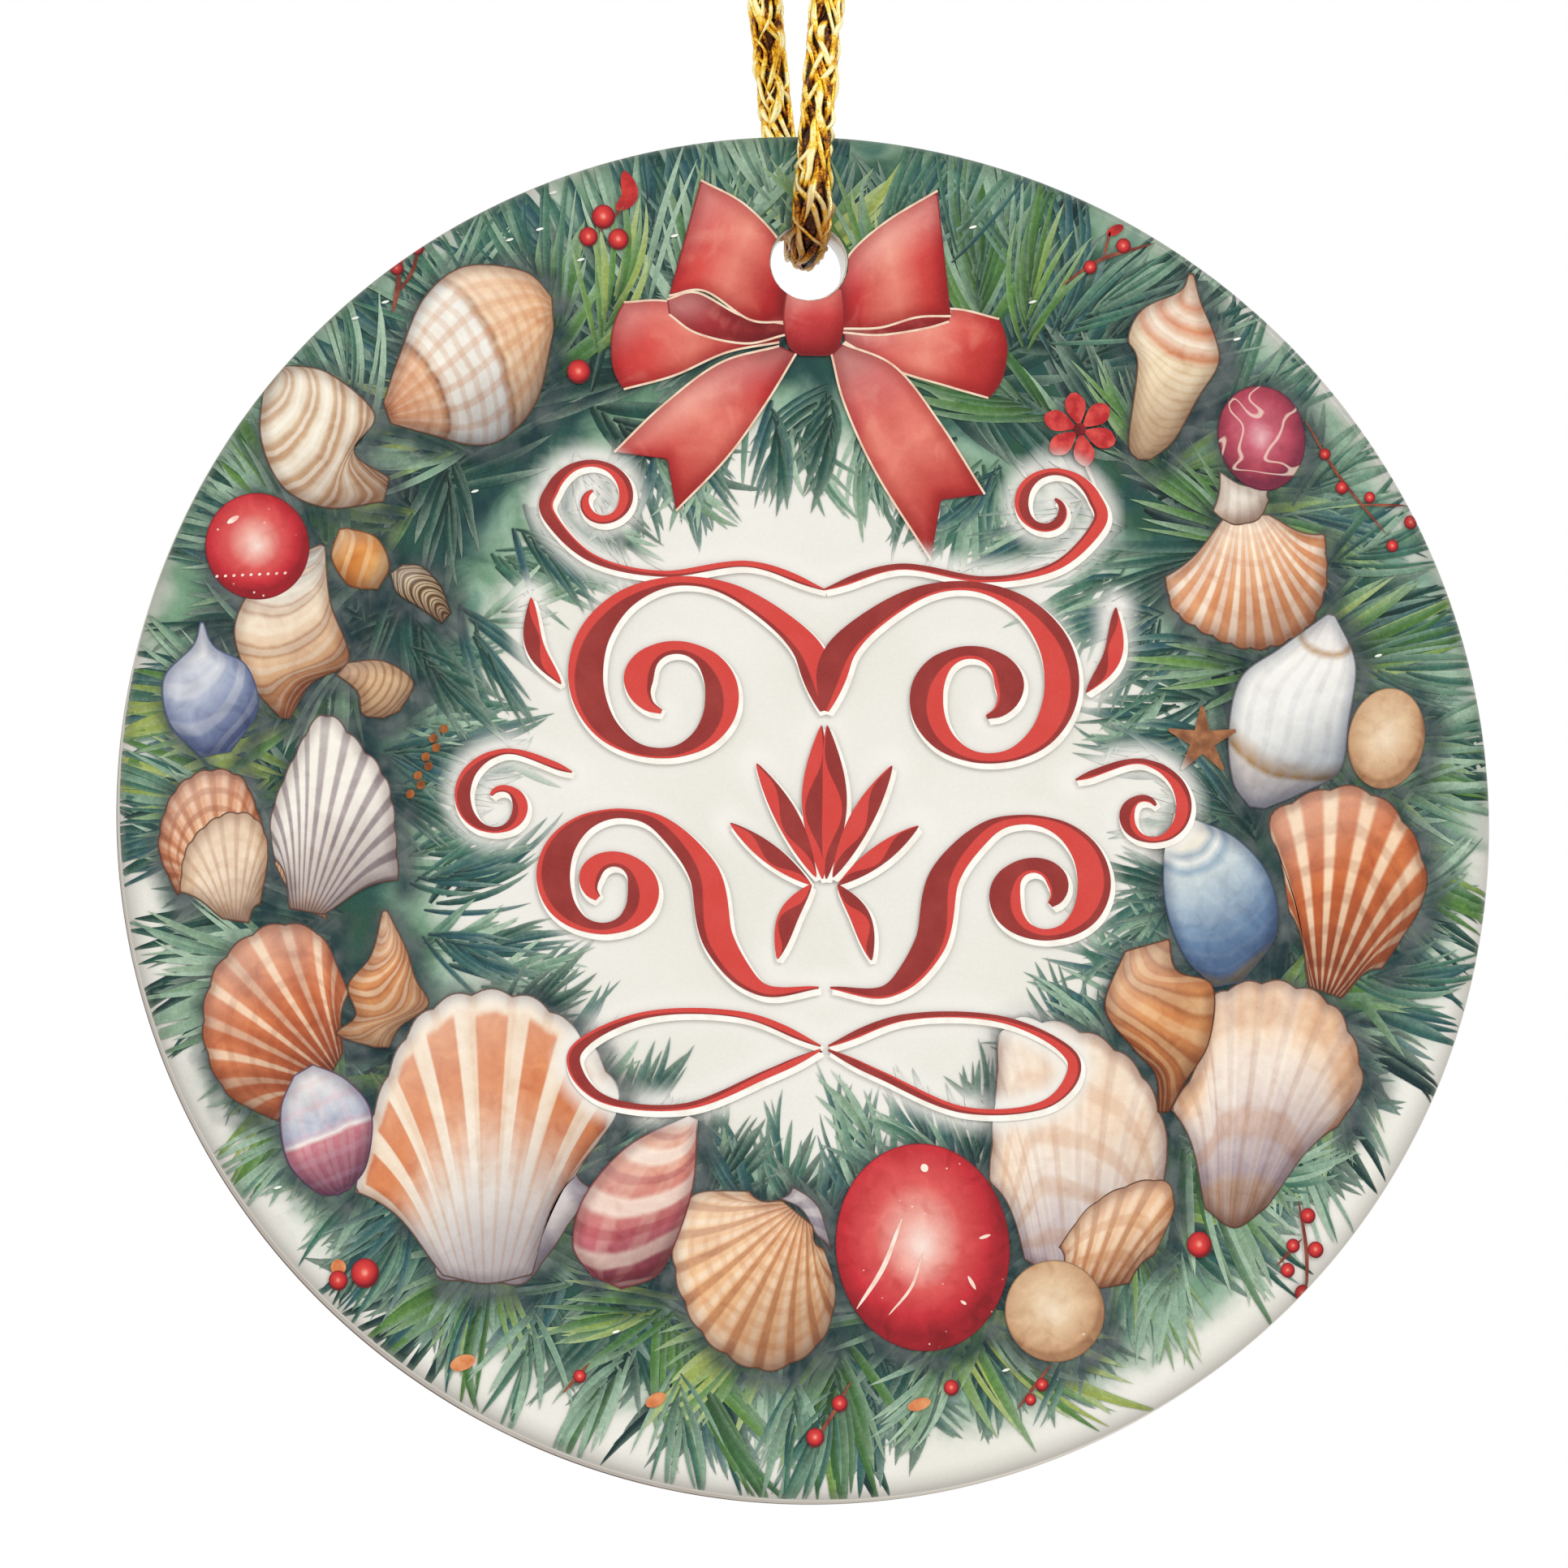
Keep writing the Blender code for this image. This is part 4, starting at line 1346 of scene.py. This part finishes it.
BOW_PARTS = {
    # name: (side from the knot outwards, the other side, material key)
    "bow_side_loop_left": (
        [(-1.4, 25.8), (-4.0, 26.4), (-7.5, 27.3), (-9.9, 27.2)],
        [(-1.6, 25.2), (-4.4, 24.6), (-7.2, 23.3), (-9.9, 22.5)], "bow_outer",
    ),
    "bow_side_loop_right": (
        [(1.8, 26.2), (4.6, 26.6), (7.6, 27.2), (10.2, 26.7)],
        [(1.9, 25.3), (4.4, 23.9), (7.4, 23.0), (9.6, 22.4)], "bow_outer",
    ),
    "bow_tail_left": (
        [(-1.6, 25.0), (-4.8, 24.0), (-7.9, 21.6), (-10.4, 19.1)],
        [(-0.7, 24.6), (-2.3, 21.9), (-4.4, 18.9), (-7.1, 16.0)], "bow_tail",
    ),
    "bow_tail_right": (
        [(1.2, 24.6), (1.9, 21.9), (3.6, 18.2), (6.5, 13.6)],
        [(1.8, 25.2), (4.6, 24.0), (7.0, 21.0), (9.4, 17.2)], "bow_tail",
    ),
    "bow_inside_left": (
        [(-1.3, 26.2), (-3.6, 26.6), (-6.0, 27.8), (-7.6, 27.4)],
        [(-1.3, 25.6), (-3.4, 25.1), (-6.0, 25.6), (-7.5, 26.6)], "bow_inner",
    ),
    "bow_inside_right": (
        [(1.8, 26.2), (3.6, 26.6), (6.2, 27.3), (7.6, 27.0)],
        [(1.8, 25.8), (3.8, 25.7), (6.2, 26.1), (7.5, 26.5)], "bow_inner",
    ),
    "bow_loop_left": (
        [(-1.1, 28.6), (-1.4, 30.4), (-3.4, 32.6), (-5.8, 33.9)],
        [(-1.3, 26.3), (-3.2, 26.4), (-5.6, 27.9), (-7.5, 27.6)], "bow_outer",
    ),
    "bow_loop_right": (
        [(1.5, 28.6), (2.3, 30.2), (4.2, 31.9), (6.9, 33.6)],
        [(1.8, 26.0), (3.8, 26.1), (5.8, 26.7), (7.6, 26.8)], "bow_outer",
    ),
    "bow_knot": (
        [(-1.2, 28.2), (-1.4, 26.5), (-1.1, 25.0), (-0.5, 24.5)],
        [(1.8, 28.2), (1.9, 26.5), (1.6, 25.0), (1.0, 24.5)], "bow_knot",
    ),
}


def swallow_tail(grid, depth=1.7, roundness=1.0):
    """The end of a ribbon with a notch cut into it, or with a bulge if depth is negative."""
    back = grid[:-1].mean(axis=1) - grid[1:].mean(axis=1)
    back = back[-1] / np.linalg.norm(back[-1])
    along = np.linspace(0, 1, grid.shape[0])[:, None, None] ** 3
    middle = 1 - np.abs(np.linspace(-1, 1, grid.shape[1]))[None, :, None] ** roundness
    return grid + back * depth * along * middle


def make_bow():
    """Ribbon bow under the hole, with its pale edges."""
    paints = {
        "bow_outer": ribbon_paint(
            "bow_outer",
            [(0.0, "#A3242F"), (0.2, "#CC3A3E"), (0.55, "#F09A8C"), (0.8, "#DC5852"), (1.0, "#C23036")],
        ),
        "bow_inner": ribbon_paint("bow_inner", [(0.0, "#8E1F2C"), (0.6, "#A83640"), (1.0, "#BC4850")]),
        "bow_tail": ribbon_paint(
            "bow_tail", [(0.0, "#A3242F"), (0.25, "#CE4042"), (0.6, "#EC9083"), (1.0, "#CE4646")]
        ),
        "bow_knot": ribbon_paint("bow_knot", [(0.0, "#E58A84"), (0.4, "#D04B4E"), (1.0, "#A52833")]),
    }
    lift = BOW_LIFT
    edging = Coat()
    for name, (first, second, key) in BOW_PARTS.items():
        grid = loft(first, second, 24, 48).transpose(1, 0, 2)
        if key == "bow_tail":
            grid = swallow_tail(grid)
        elif "side_loop" in name:
            grid = swallow_tail(grid, -0.7, 2.5)
        paint_shape(name, grid, paints[key], lift)
        for line in (smooth_line(first, 40), smooth_line(second, 40)):
            if key != "bow_knot":
                edging.add(strip(line, np.full(40, 0.06)), lift + 0.5)
        lift += SHAPE_STEP
    edging.build("bow_edging", plain_print("bow_edging", "#F6E4D2", "#E9C3B0"))


BERRIES = [
    # (x, z, radius) of each red berry
    (-11.0, 31.8, 0.62), (-11.8, 30.7, 0.50), (-10.2, 30.6, 0.55), (-12.3, 23.4, 0.62),
    (-22.0, 28.8, 0.36), (-20.9, 29.9, 0.34), (15.1, 29.6, 0.36), (16.9, 30.8, 0.40),
    (27.7, 19.7, 0.30), (28.6, 17.9, 0.34), (30.1, 17.4, 0.30), (32.3, 16.1, 0.36),
    (31.3, 14.8, 0.32), (20.7, -22.8, 0.66), (26.5, -21.2, 0.40), (25.7, -22.8, 0.36),
    (26.9, -23.0, 0.42), (25.4, -24.1, 0.38), (26.2, -25.3, 0.42), (1.6, -31.4, 0.42),
    (0.3, -33.2, 0.48), (7.5, -30.5, 0.40), (12.3, -30.3, 0.34), (11.7, -31.1, 0.30),
    (-12.1, -30.1, 0.34), (-23.4, -24.8, 0.74), (-24.8, -25.2, 0.50),
]


def make_berries():
    """Small red berries, all in one coat."""
    tones = [(0.0, "#F3A79A"), (0.3, "#DE4C48"), (0.8, "#B7242E"), (1.0, "#7E141E")]
    paint = bauble_paint("berry_red", tones, speckles=0.02)
    coat = Coat()
    for x, z, radius in BERRIES:
        grid = round_grid((x, z), (radius, radius * 1.06), rows=6, columns=24)
        coat.add(grid, BERRY_LIFT, rim=rim_distance(grid, True), light=facing_light(grid))
    coat.build("berries", paint)


STROKES = {
    # name: (colour, the colour it drifts into, [(points, half width)])
    "bauble_glints": ("#FFF4EC", "#F6C9BF", [
        ([(4.9, -21.6), (3.9, -24.2), (2.5, -26.4)], 0.13),
        ([(6.0, -23.4), (5.4, -25.2), (4.2, -26.7)], 0.08),
        ([(6.0, -18.7), (6.2, -19.1)], 0.20), ([(8.4, -24.6), (8.8, -25.3)], 0.10),
        ([(8.0, -25.9), (8.3, -26.1)], 0.08),
        ([(9.0, -22.6), (9.6, -22.4)], 0.09),
        ([(-30.9, 14.9), (-30.3, 15.3)], 0.14),
        *[([(-31.5 + 0.45 * step, 12.0 + 0.03 * step), (-31.35 + 0.45 * step, 12.1 + 0.03 * step)], 0.07)
          for step in range(9)],
    ]),
    "twigs": ("#7E3A30", "#A5624A", [
        ([(-22.2, 26.4), (-21.9, 28.2), (-22.1, 29.3)], 0.14),
        ([(-22.0, 27.4), (-21.2, 28.6), (-20.8, 30.2)], 0.10),
        ([(13.6, 28.6), (15.6, 30.0), (18.6, 31.0)], 0.10), ([(15.8, 30.1), (16.2, 31.6)], 0.08),
        ([(26.6, 21.6), (28.4, 18.6), (31.0, 15.4)], 0.08), ([(29.6, 17.0), (32.2, 17.0)], 0.07),
        ([(26.0, -20.4), (26.4, -23.0), (26.4, -25.8)], 0.10), ([(26.2, -22.4), (24.8, -23.9)], 0.08),
        ([(0.0, -33.8), (1.2, -32.0), (2.2, -30.2)], 0.10), ([(11.0, -31.6), (12.8, -29.2)], 0.09),
        ([(-13.0, -31.0), (-11.6, -29.4)], 0.09), ([(14.6, 19.4), (15.4, 17.6)], 0.10),
        ([(-11.2, 31.0), (-9.9, 32.4)], 0.09),
    ]),
    "ribbon_scraps": ("#D8453F", "#B12A31", [
        ([(-10.3, 32.2), (-9.6, 33.0), (-9.9, 34.3)], 0.44), ([(-22.4, 29.0), (-21.6, 29.5)], 0.30),
        ([(-23.0, 30.0), (-22.4, 30.4)], 0.26), ([(16.0, 31.4), (16.9, 31.9)], 0.26),
    ]),
    "buds": ("#E8A878", "#D27A4C", [
        ([(-18.9, -29.7), (-17.6, -29.2)], 0.40), ([(-8.6, -31.6), (-7.6, -31.0)], 0.34),
        ([(-25.2, -24.5), (-24.4, -24.5)], 0.42), ([(5.2, -31.6), (6.4, -31.2)], 0.32),
    ]),
    "copper_beads": ("#B9743E", "#7C4520", [
        ([(-21.3 + 0.2 * step + 0.35 * (step % 2), 0.4 + 0.5 * step),
          (-21.0 + 0.2 * step + 0.35 * (step % 2), 0.8 + 0.5 * step)], 0.22) for step in range(8)
    ]),
    "snow_flecks": ("#FFFFFF", "#E6F0EC", [
        ([(x, z), (x + 0.4, z + 0.12)], 0.07) for x, z in (
            (-24.4, 26.0), (-22.8, 26.9), (-14.6, 31.0), (-13.9, 33.0), (-16.2, 30.4), (-12.4, 29.4),
            (8.6, 31.6),
            (11.8, 27.6), (-18.0, 16.8), (30.3, 8.8), (-10.4, -27.8), (10.2, -29.6), (-28.2, -20.4),
            (-7.4, 30.8), (22.8, 25.8),
        )
    ]),
}


def make_strokes():
    """Single strokes of the brush: glints on the baubles, twigs, scraps, buds, beads and snow."""
    for name, (tone, other, strokes) in STROKES.items():
        coat = Coat()
        for step, (points, half_width) in enumerate(strokes):
            line = smooth_line(points, 16)
            swell = 0.15 + 0.85 * np.sin(math.pi * np.linspace(0, 1, 16)) ** 0.6
            coat.add(strip(line, half_width * swell), STROKE_LIFT + step * 0.3)
        coat.build(name, plain_print(name, tone, other))


def make_flower():
    """Small red flower of six petals round a dark eye, and a brown star beside the blue shell."""
    coat = Coat()
    centre = np.array([14.5, 20.8])
    for step in range(6):
        turn = math.radians(100 + 60 * step)
        ahead = np.array([math.cos(turn), math.sin(turn)])
        line = np.linspace(centre + 0.30 * ahead, centre + 2.0 * ahead, 14)
        width = 0.56 * np.sin(math.pi * np.linspace(0.06, 0.97, 14) ** 1.4) ** 0.7
        coat.add(strip(line, width), BERRY_LIFT + step * 0.4)
    coat.build("red_flower", plain_print("petal_red", "#B9242E", "#E4605A"))
    eye = Coat()
    eye.add(round_grid(centre, (0.34, 0.34), rows=4, columns=16), BERRY_LIFT + 4)
    eye.build("flower_eye", plain_print("flower_eye", "#6E1620", "#9A2A2C"))
    star = Coat()
    for step in range(5):
        turn = math.radians(90 + 72 * step)
        tip = (21.0 + 1.9 * math.cos(turn), 4.1 + 1.9 * math.sin(turn))
        line = np.linspace((21.0, 4.1), tip, 12)
        star.add(strip(line, np.linspace(0.55, 0.08, 12)), BERRY_LIFT + step * 0.4)
    star.build("brown_star", plain_print("star_brown", "#8A5A3E", "#B9855F"))


# ---------------------------------------------------------------- scrollwork


def make_scrolls():
    """Mirrored pen scrolls in two reds over a white drop shadow, in place of any lettering."""
    red, white = Coat(), Coat()
    lift = SCROLL_LIFT
    for line, side, thin, thick in SCROLL_LINES:
        width = pen_widths(line, thin, thick)
        turn = np.repeat(side * 0.35 * np.sin(np.linspace(0.4, 8, len(line))), 3)
        red.add(strip(line, width), lift + RED_ABOVE_WHITE, turn=turn)
        white.add(strip(line + [0.12, -0.20], width + 0.12), lift)
        lift += 0.6
    white.build("scroll_edging", plain_print("scroll_white", "#FFFFFF", "#F6F3EE"), glows=False)
    red.build("scrollwork", scroll_paint(), glows=False)


# ---------------------------------------------------------------- cord


def loop_route():
    """Loop of cord as part.py routes it: down the front, through the hole and up the back."""
    front = [
        (1.0, 0.0, -0.3), (1.8, -0.1, -3.0), (2.8, -0.4, -8.0), (2.9, -0.8, -13.0),
        (2.2, -1.3, -19.0), (1.3, -1.9, -25.0), (0.7, -2.5, -30.0), (0.3, -2.8, -34.5),
    ]
    back = [
        (-1.1, 2.6, -34.5), (-1.7, 2.1, -30.0), (-2.2, 1.6, -25.0), (-2.7, 1.1, -19.0),
        (-3.1, 0.7, -13.0), (-2.8, 0.3, -8.0), (-1.8, 0.1, -3.0), (-1.0, 0.0, -0.3),
    ]
    half_width, squareness = 2.6, 0.8
    bight = []
    for step in range(9):
        turn = math.pi * step / 8
        across = math.copysign(abs(math.cos(turn)) ** squareness, math.cos(turn))
        down = abs(math.sin(turn)) ** squareness
        x = 0.10 - 0.20 * step / 8
        bight.append((x, -0.1 - half_width * across, PIVOT_Z + half_width * (1 - down)))
    return front + bight + back


def frames_along(line):
    """Two directions square to a line at each of its points, which turn no more than they must."""
    ahead = np.gradient(line, axis=0)
    ahead /= np.linalg.norm(ahead, axis=1)[:, None]
    side = np.cross(ahead[0], (0.3, -1.0, 0.1))
    sides = []
    for direction in ahead:
        side = side - direction * side.dot(direction)
        side /= np.linalg.norm(side)
        sides.append(side)
    sides = np.array(sides)
    return ahead, sides, np.cross(ahead, sides)


def tube(line, across, outward, half_width, half_height, corners=6):
    """Vertices and faces of a closed flattened tube round a line."""
    turn = np.linspace(0, 2 * math.pi, corners, endpoint=False)
    width = half_width[:, None, None] * np.cos(turn)[None, :, None] * across[:, None, :]
    height = half_height[:, None, None] * np.sin(turn)[None, :, None] * outward[:, None, :]
    points = (line[:, None, :] + width + height).reshape(-1, 3)
    count = len(line)
    corner = np.arange(count * corners).reshape(count, corners)
    after = np.roll(corner, -1, axis=1)
    faces = np.stack([corner[:-1], after[:-1], after[1:], corner[1:]], axis=2).reshape(-1, 4)
    caps = []
    for ends in (corner[0][::-1], corner[-1]):
        for step in range(1, corners - 2, 2):
            caps.append((ends[0], ends[step], ends[step + 1], ends[step + 2]))
    return points, np.concatenate([faces, np.array(caps)])


def soft_noise(count, spacing, size):
    """Seeded wobble that changes about every size millimetres."""
    knots = max(3, int(count * spacing / size) + 3)
    values = random.normal(0, 1, knots)
    place = np.linspace(0, knots - 1.001, count)
    index = place.astype(int)
    share = place - index
    share = share * share * (3 - 2 * share)
    return values[index] * (1 - share) + values[np.minimum(index + 1, knots - 1)] * share


def braid(route, radius, crease, threads=22, pitch=15.0, spacing=0.15, fray=0.0):
    """Foil threads that wind both ways round a core, each over and under the others."""
    length = np.linalg.norm(np.diff(smooth_line(route, 400), axis=0), axis=1).sum()
    count = int(length / spacing)
    line = smooth_line(route, count)
    size = np.broadcast_to(radius(line), count)
    # Painted shade that the cord takes at each point of its route
    creased = np.broadcast_to(crease(line), count)
    ahead, side, other = frames_along(line)
    travelled = np.linspace(0, length, count)
    points, faces, depth, creases = [], [], [], []
    start = 0

    def add(shape, shape_faces, thread_depth, corners):
        """Puts one thread, or the core, into the braid's arrays."""
        nonlocal start
        points.append(shape)
        faces.append(shape_faces + start)
        depth.append(np.repeat(thread_depth, corners))
        creases.append(np.repeat(creased, corners))
        start += len(shape)

    core = size * 0.80
    # The core lies deepest and takes dark painted shade
    add(*tube(line, side, other, core, core, 10), np.full(count, 0.24), 10)
    loosen = 1 + fray * (travelled / length) ** 3
    for thread in range(threads):
        way = 1 if thread % 2 else -1
        angle = 2 * math.pi * (thread // 2) / (threads // 2) + way * 2 * math.pi * travelled / pitch
        angle = angle + 0.34 * soft_noise(count, spacing, 1.7)
        weave = way * np.sin(angle * 5) * 0.06
        reach = size * (0.90 + weave + 0.08 * soft_noise(count, spacing, 0.8)) * loosen
        outward = np.cos(angle)[:, None] * side + np.sin(angle)[:, None] * other
        sideways = np.cross(ahead, outward)
        path = line + outward * reach[:, None]
        width = size * (0.19 + 0.07 * soft_noise(count, spacing, 1.2)).clip(0.08, 0.36)
        height = size * 0.20
        # How far out a thread lies, which sets its painted light and shade
        closeness = (reach / size / loosen - 0.72) / 0.30
        add(*tube(path, sideways, outward, width, height), closeness.clip(0, 1), 6)
    return {
        "vertices": np.concatenate(points) * MM,
        "faces": np.concatenate(faces),
        "depth": np.concatenate(depth),
        "crease": np.concatenate(creases),
        "line": line * MM,
        "length": length * MM,
    }


def merge(braids):
    """Several braids as one mesh's worth of arrays."""
    start = 0
    faces = []
    for item in braids:
        faces.append(item["faces"] + start)
        start += len(item["vertices"])
    merged = {"faces": np.concatenate(faces)}
    for key in ("vertices", "depth", "crease"):
        merged[key] = np.concatenate([item[key] for item in braids])
    return merged


def build_braid(name, item, material, body):
    """A braid as a piece of the cord."""
    return make_piece(
        name, item["vertices"], item["faces"], material, body, "cord",
        depth=item["depth"], crease=item["crease"],
    )


def loop_radius(line):
    """The cord's own radius, and a little more where it is folded over the hole's top edge."""
    fold = np.exp(-(((line[:, 2] - (PIVOT_Z + 1.6)) / 1.7) ** 2)) * (line[:, 1] < 0.5)
    return CORD_RADIUS * (0.96 + 0.20 * fold)


def loop_crease(line):
    """How much painted shade the cord takes: fully where it turns through the hole, not at all higher up.
    """
    return np.exp(-(((line[:, 2] - (PIVOT_Z + 0.8)) / 2.2) ** 2))


def make_knot(gold):
    """Overhand knot drawn up in both strands at once, with two short frayed tails."""
    turns = 2.6
    share = np.linspace(0, 1, 40)
    turn = 2 * math.pi * turns * share
    wrap = np.stack(
        [2.05 * np.sin(turn), -1.55 * np.cos(turn), 1.1 + 4.5 * share + 0.25 * np.sin(turn + 0.6)],
        axis=1,
    )
    # Painted shade: a little on the wrap, more on the strands inside it
    rounds = [braid(wrap, lambda line: 0.80, lambda line: 0.25)]
    for side in (-1, 1):
        inner = [(side * 0.95, 0.0, -0.2), (side * 0.7, 0.1, 3.4), (side * 1.0, 0.0, 6.9)]
        rounds.append(braid(inner, lambda line: 0.70, lambda line: 0.6))
    knot = build_braid("knot", merge(rounds), gold, "hanger")
    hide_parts("cord_knot")
    tails = []
    start = KNOT_HEIGHT + 0.1
    for name, side in (("left_tail", -1), ("right_tail", 1)):
        route = [
            (side * 1.0, 0.0, start - 0.5),
            (side * 1.3, -0.2, start + TAIL_LENGTH * 0.3),
            (side * 2.0, -0.5, start + TAIL_LENGTH * 0.65),
            (side * 3.0, -0.7, start + TAIL_LENGTH * 0.93),
        ]
        # A trace of painted shade on the tails
        item = braid(route, lambda line: CORD_RADIUS * 0.9, lambda line: 0.1, fray=0.55)
        piece = build_braid("frayed_" + name, item, gold, "hanger")
        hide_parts(name)
        tails.append(piece)
    return [knot] + tails


def make_cord():
    """Knot and tails on the hanger, and the loop, which is left without a parent."""
    gold = gold_paint()
    on_cord = make_knot(gold)
    item = braid(loop_route(), loop_radius, loop_crease)
    loop = build_braid("cord_loop", item, gold, "loop")
    loop.parent = None
    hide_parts("front_strand", "back_strand", "cord_bight")
    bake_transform(loop)


# ---------------------------------------------------------------- stage


# The photograph's view: a little from the left and from below, and the width it takes in at the disc
CAMERA_AZIMUTH = math.radians(-6)
CAMERA_ELEVATION = math.radians(-8.5)
CAMERA_DISTANCE = 0.6
FRAME_WIDTH = 0.08295
FRAME_RIGHT = -1.32 * MM
FRAME_UP = 1.47 * MM


def make_camera():
    """Camera that sees the disc as large and as far off centre as the photograph shows it."""
    turn, lift = CAMERA_AZIMUTH, CAMERA_ELEVATION
    right = Vector((math.cos(turn), math.sin(turn), 0))
    back = Vector((math.sin(turn) * math.cos(lift), -math.cos(turn) * math.cos(lift), math.sin(lift)))
    up = back.cross(right)
    target = Vector((0, FRONT_Y * MM, DISC_Z * MM)) + right * FRAME_RIGHT + up * FRAME_UP
    data = bpy.data.cameras.new("camera")
    data.sensor_width = 36
    data.lens = data.sensor_width * CAMERA_DISTANCE / FRAME_WIDTH
    data.clip_start = 0.01
    data.clip_end = 20
    camera = bpy.data.objects.new("camera", data)
    camera.location = target + back * CAMERA_DISTANCE
    camera.rotation_euler = back.to_track_quat("Z", "Y").to_euler()
    bpy.context.scene.collection.objects.link(camera)
    bpy.context.scene.camera = camera


def make_light(name, location, size, power):
    """Square soft light that faces the disc."""
    data = bpy.data.lights.new(name, "AREA")
    data.size = size
    data.energy = power
    light = bpy.data.objects.new(name, data)
    light.location = location
    toward = Vector(location) - Vector((0, 0, DISC_Z * MM))
    light.rotation_euler = toward.to_track_quat("Z", "Y").to_euler()
    bpy.context.scene.collection.objects.link(light)


def make_stage():
    """Pale floor below the ornament, white surroundings and two soft lights."""
    size, depth = 3.0, -0.32
    corners = [(-size, -size, depth), (size, -size, depth), (size, size, depth), (-size, size, depth)]
    paint = Paint("floor", gain=(1, 1, 1))
    speckle = paint.between(paint.noise(60.0), 0.3, 0.7)
    material = paint.finish(paint.mix(speckle, "#F4F3F1", "#EFEEEC"), 0.7)
    link_mesh("floor", corners, [(0, 1, 2, 3)], material)
    world = bpy.data.worlds.new("studio")
    world.use_nodes = True
    background = world.node_tree.nodes["Background"]
    background.inputs["Color"].default_value = (1.0, 1.0, 1.0, 1.0)
    background.inputs["Strength"].default_value = 1.0
    bpy.context.scene.world = world
    bpy.context.scene.view_settings.view_transform = "Standard"
    make_light("key", (0.5, -0.7, 0.5), 0.35, 2.2)
    make_light("fill", (-0.7, -0.5, 0.1), 0.5, 0.5)


make_camera()
make_stage()
make_cord()
make_ceramic()
make_ground()
make_foliage()
make_shade(make_shells() + make_baubles())
make_bow()
make_strokes()
make_berries()
make_flower()
make_scrolls()
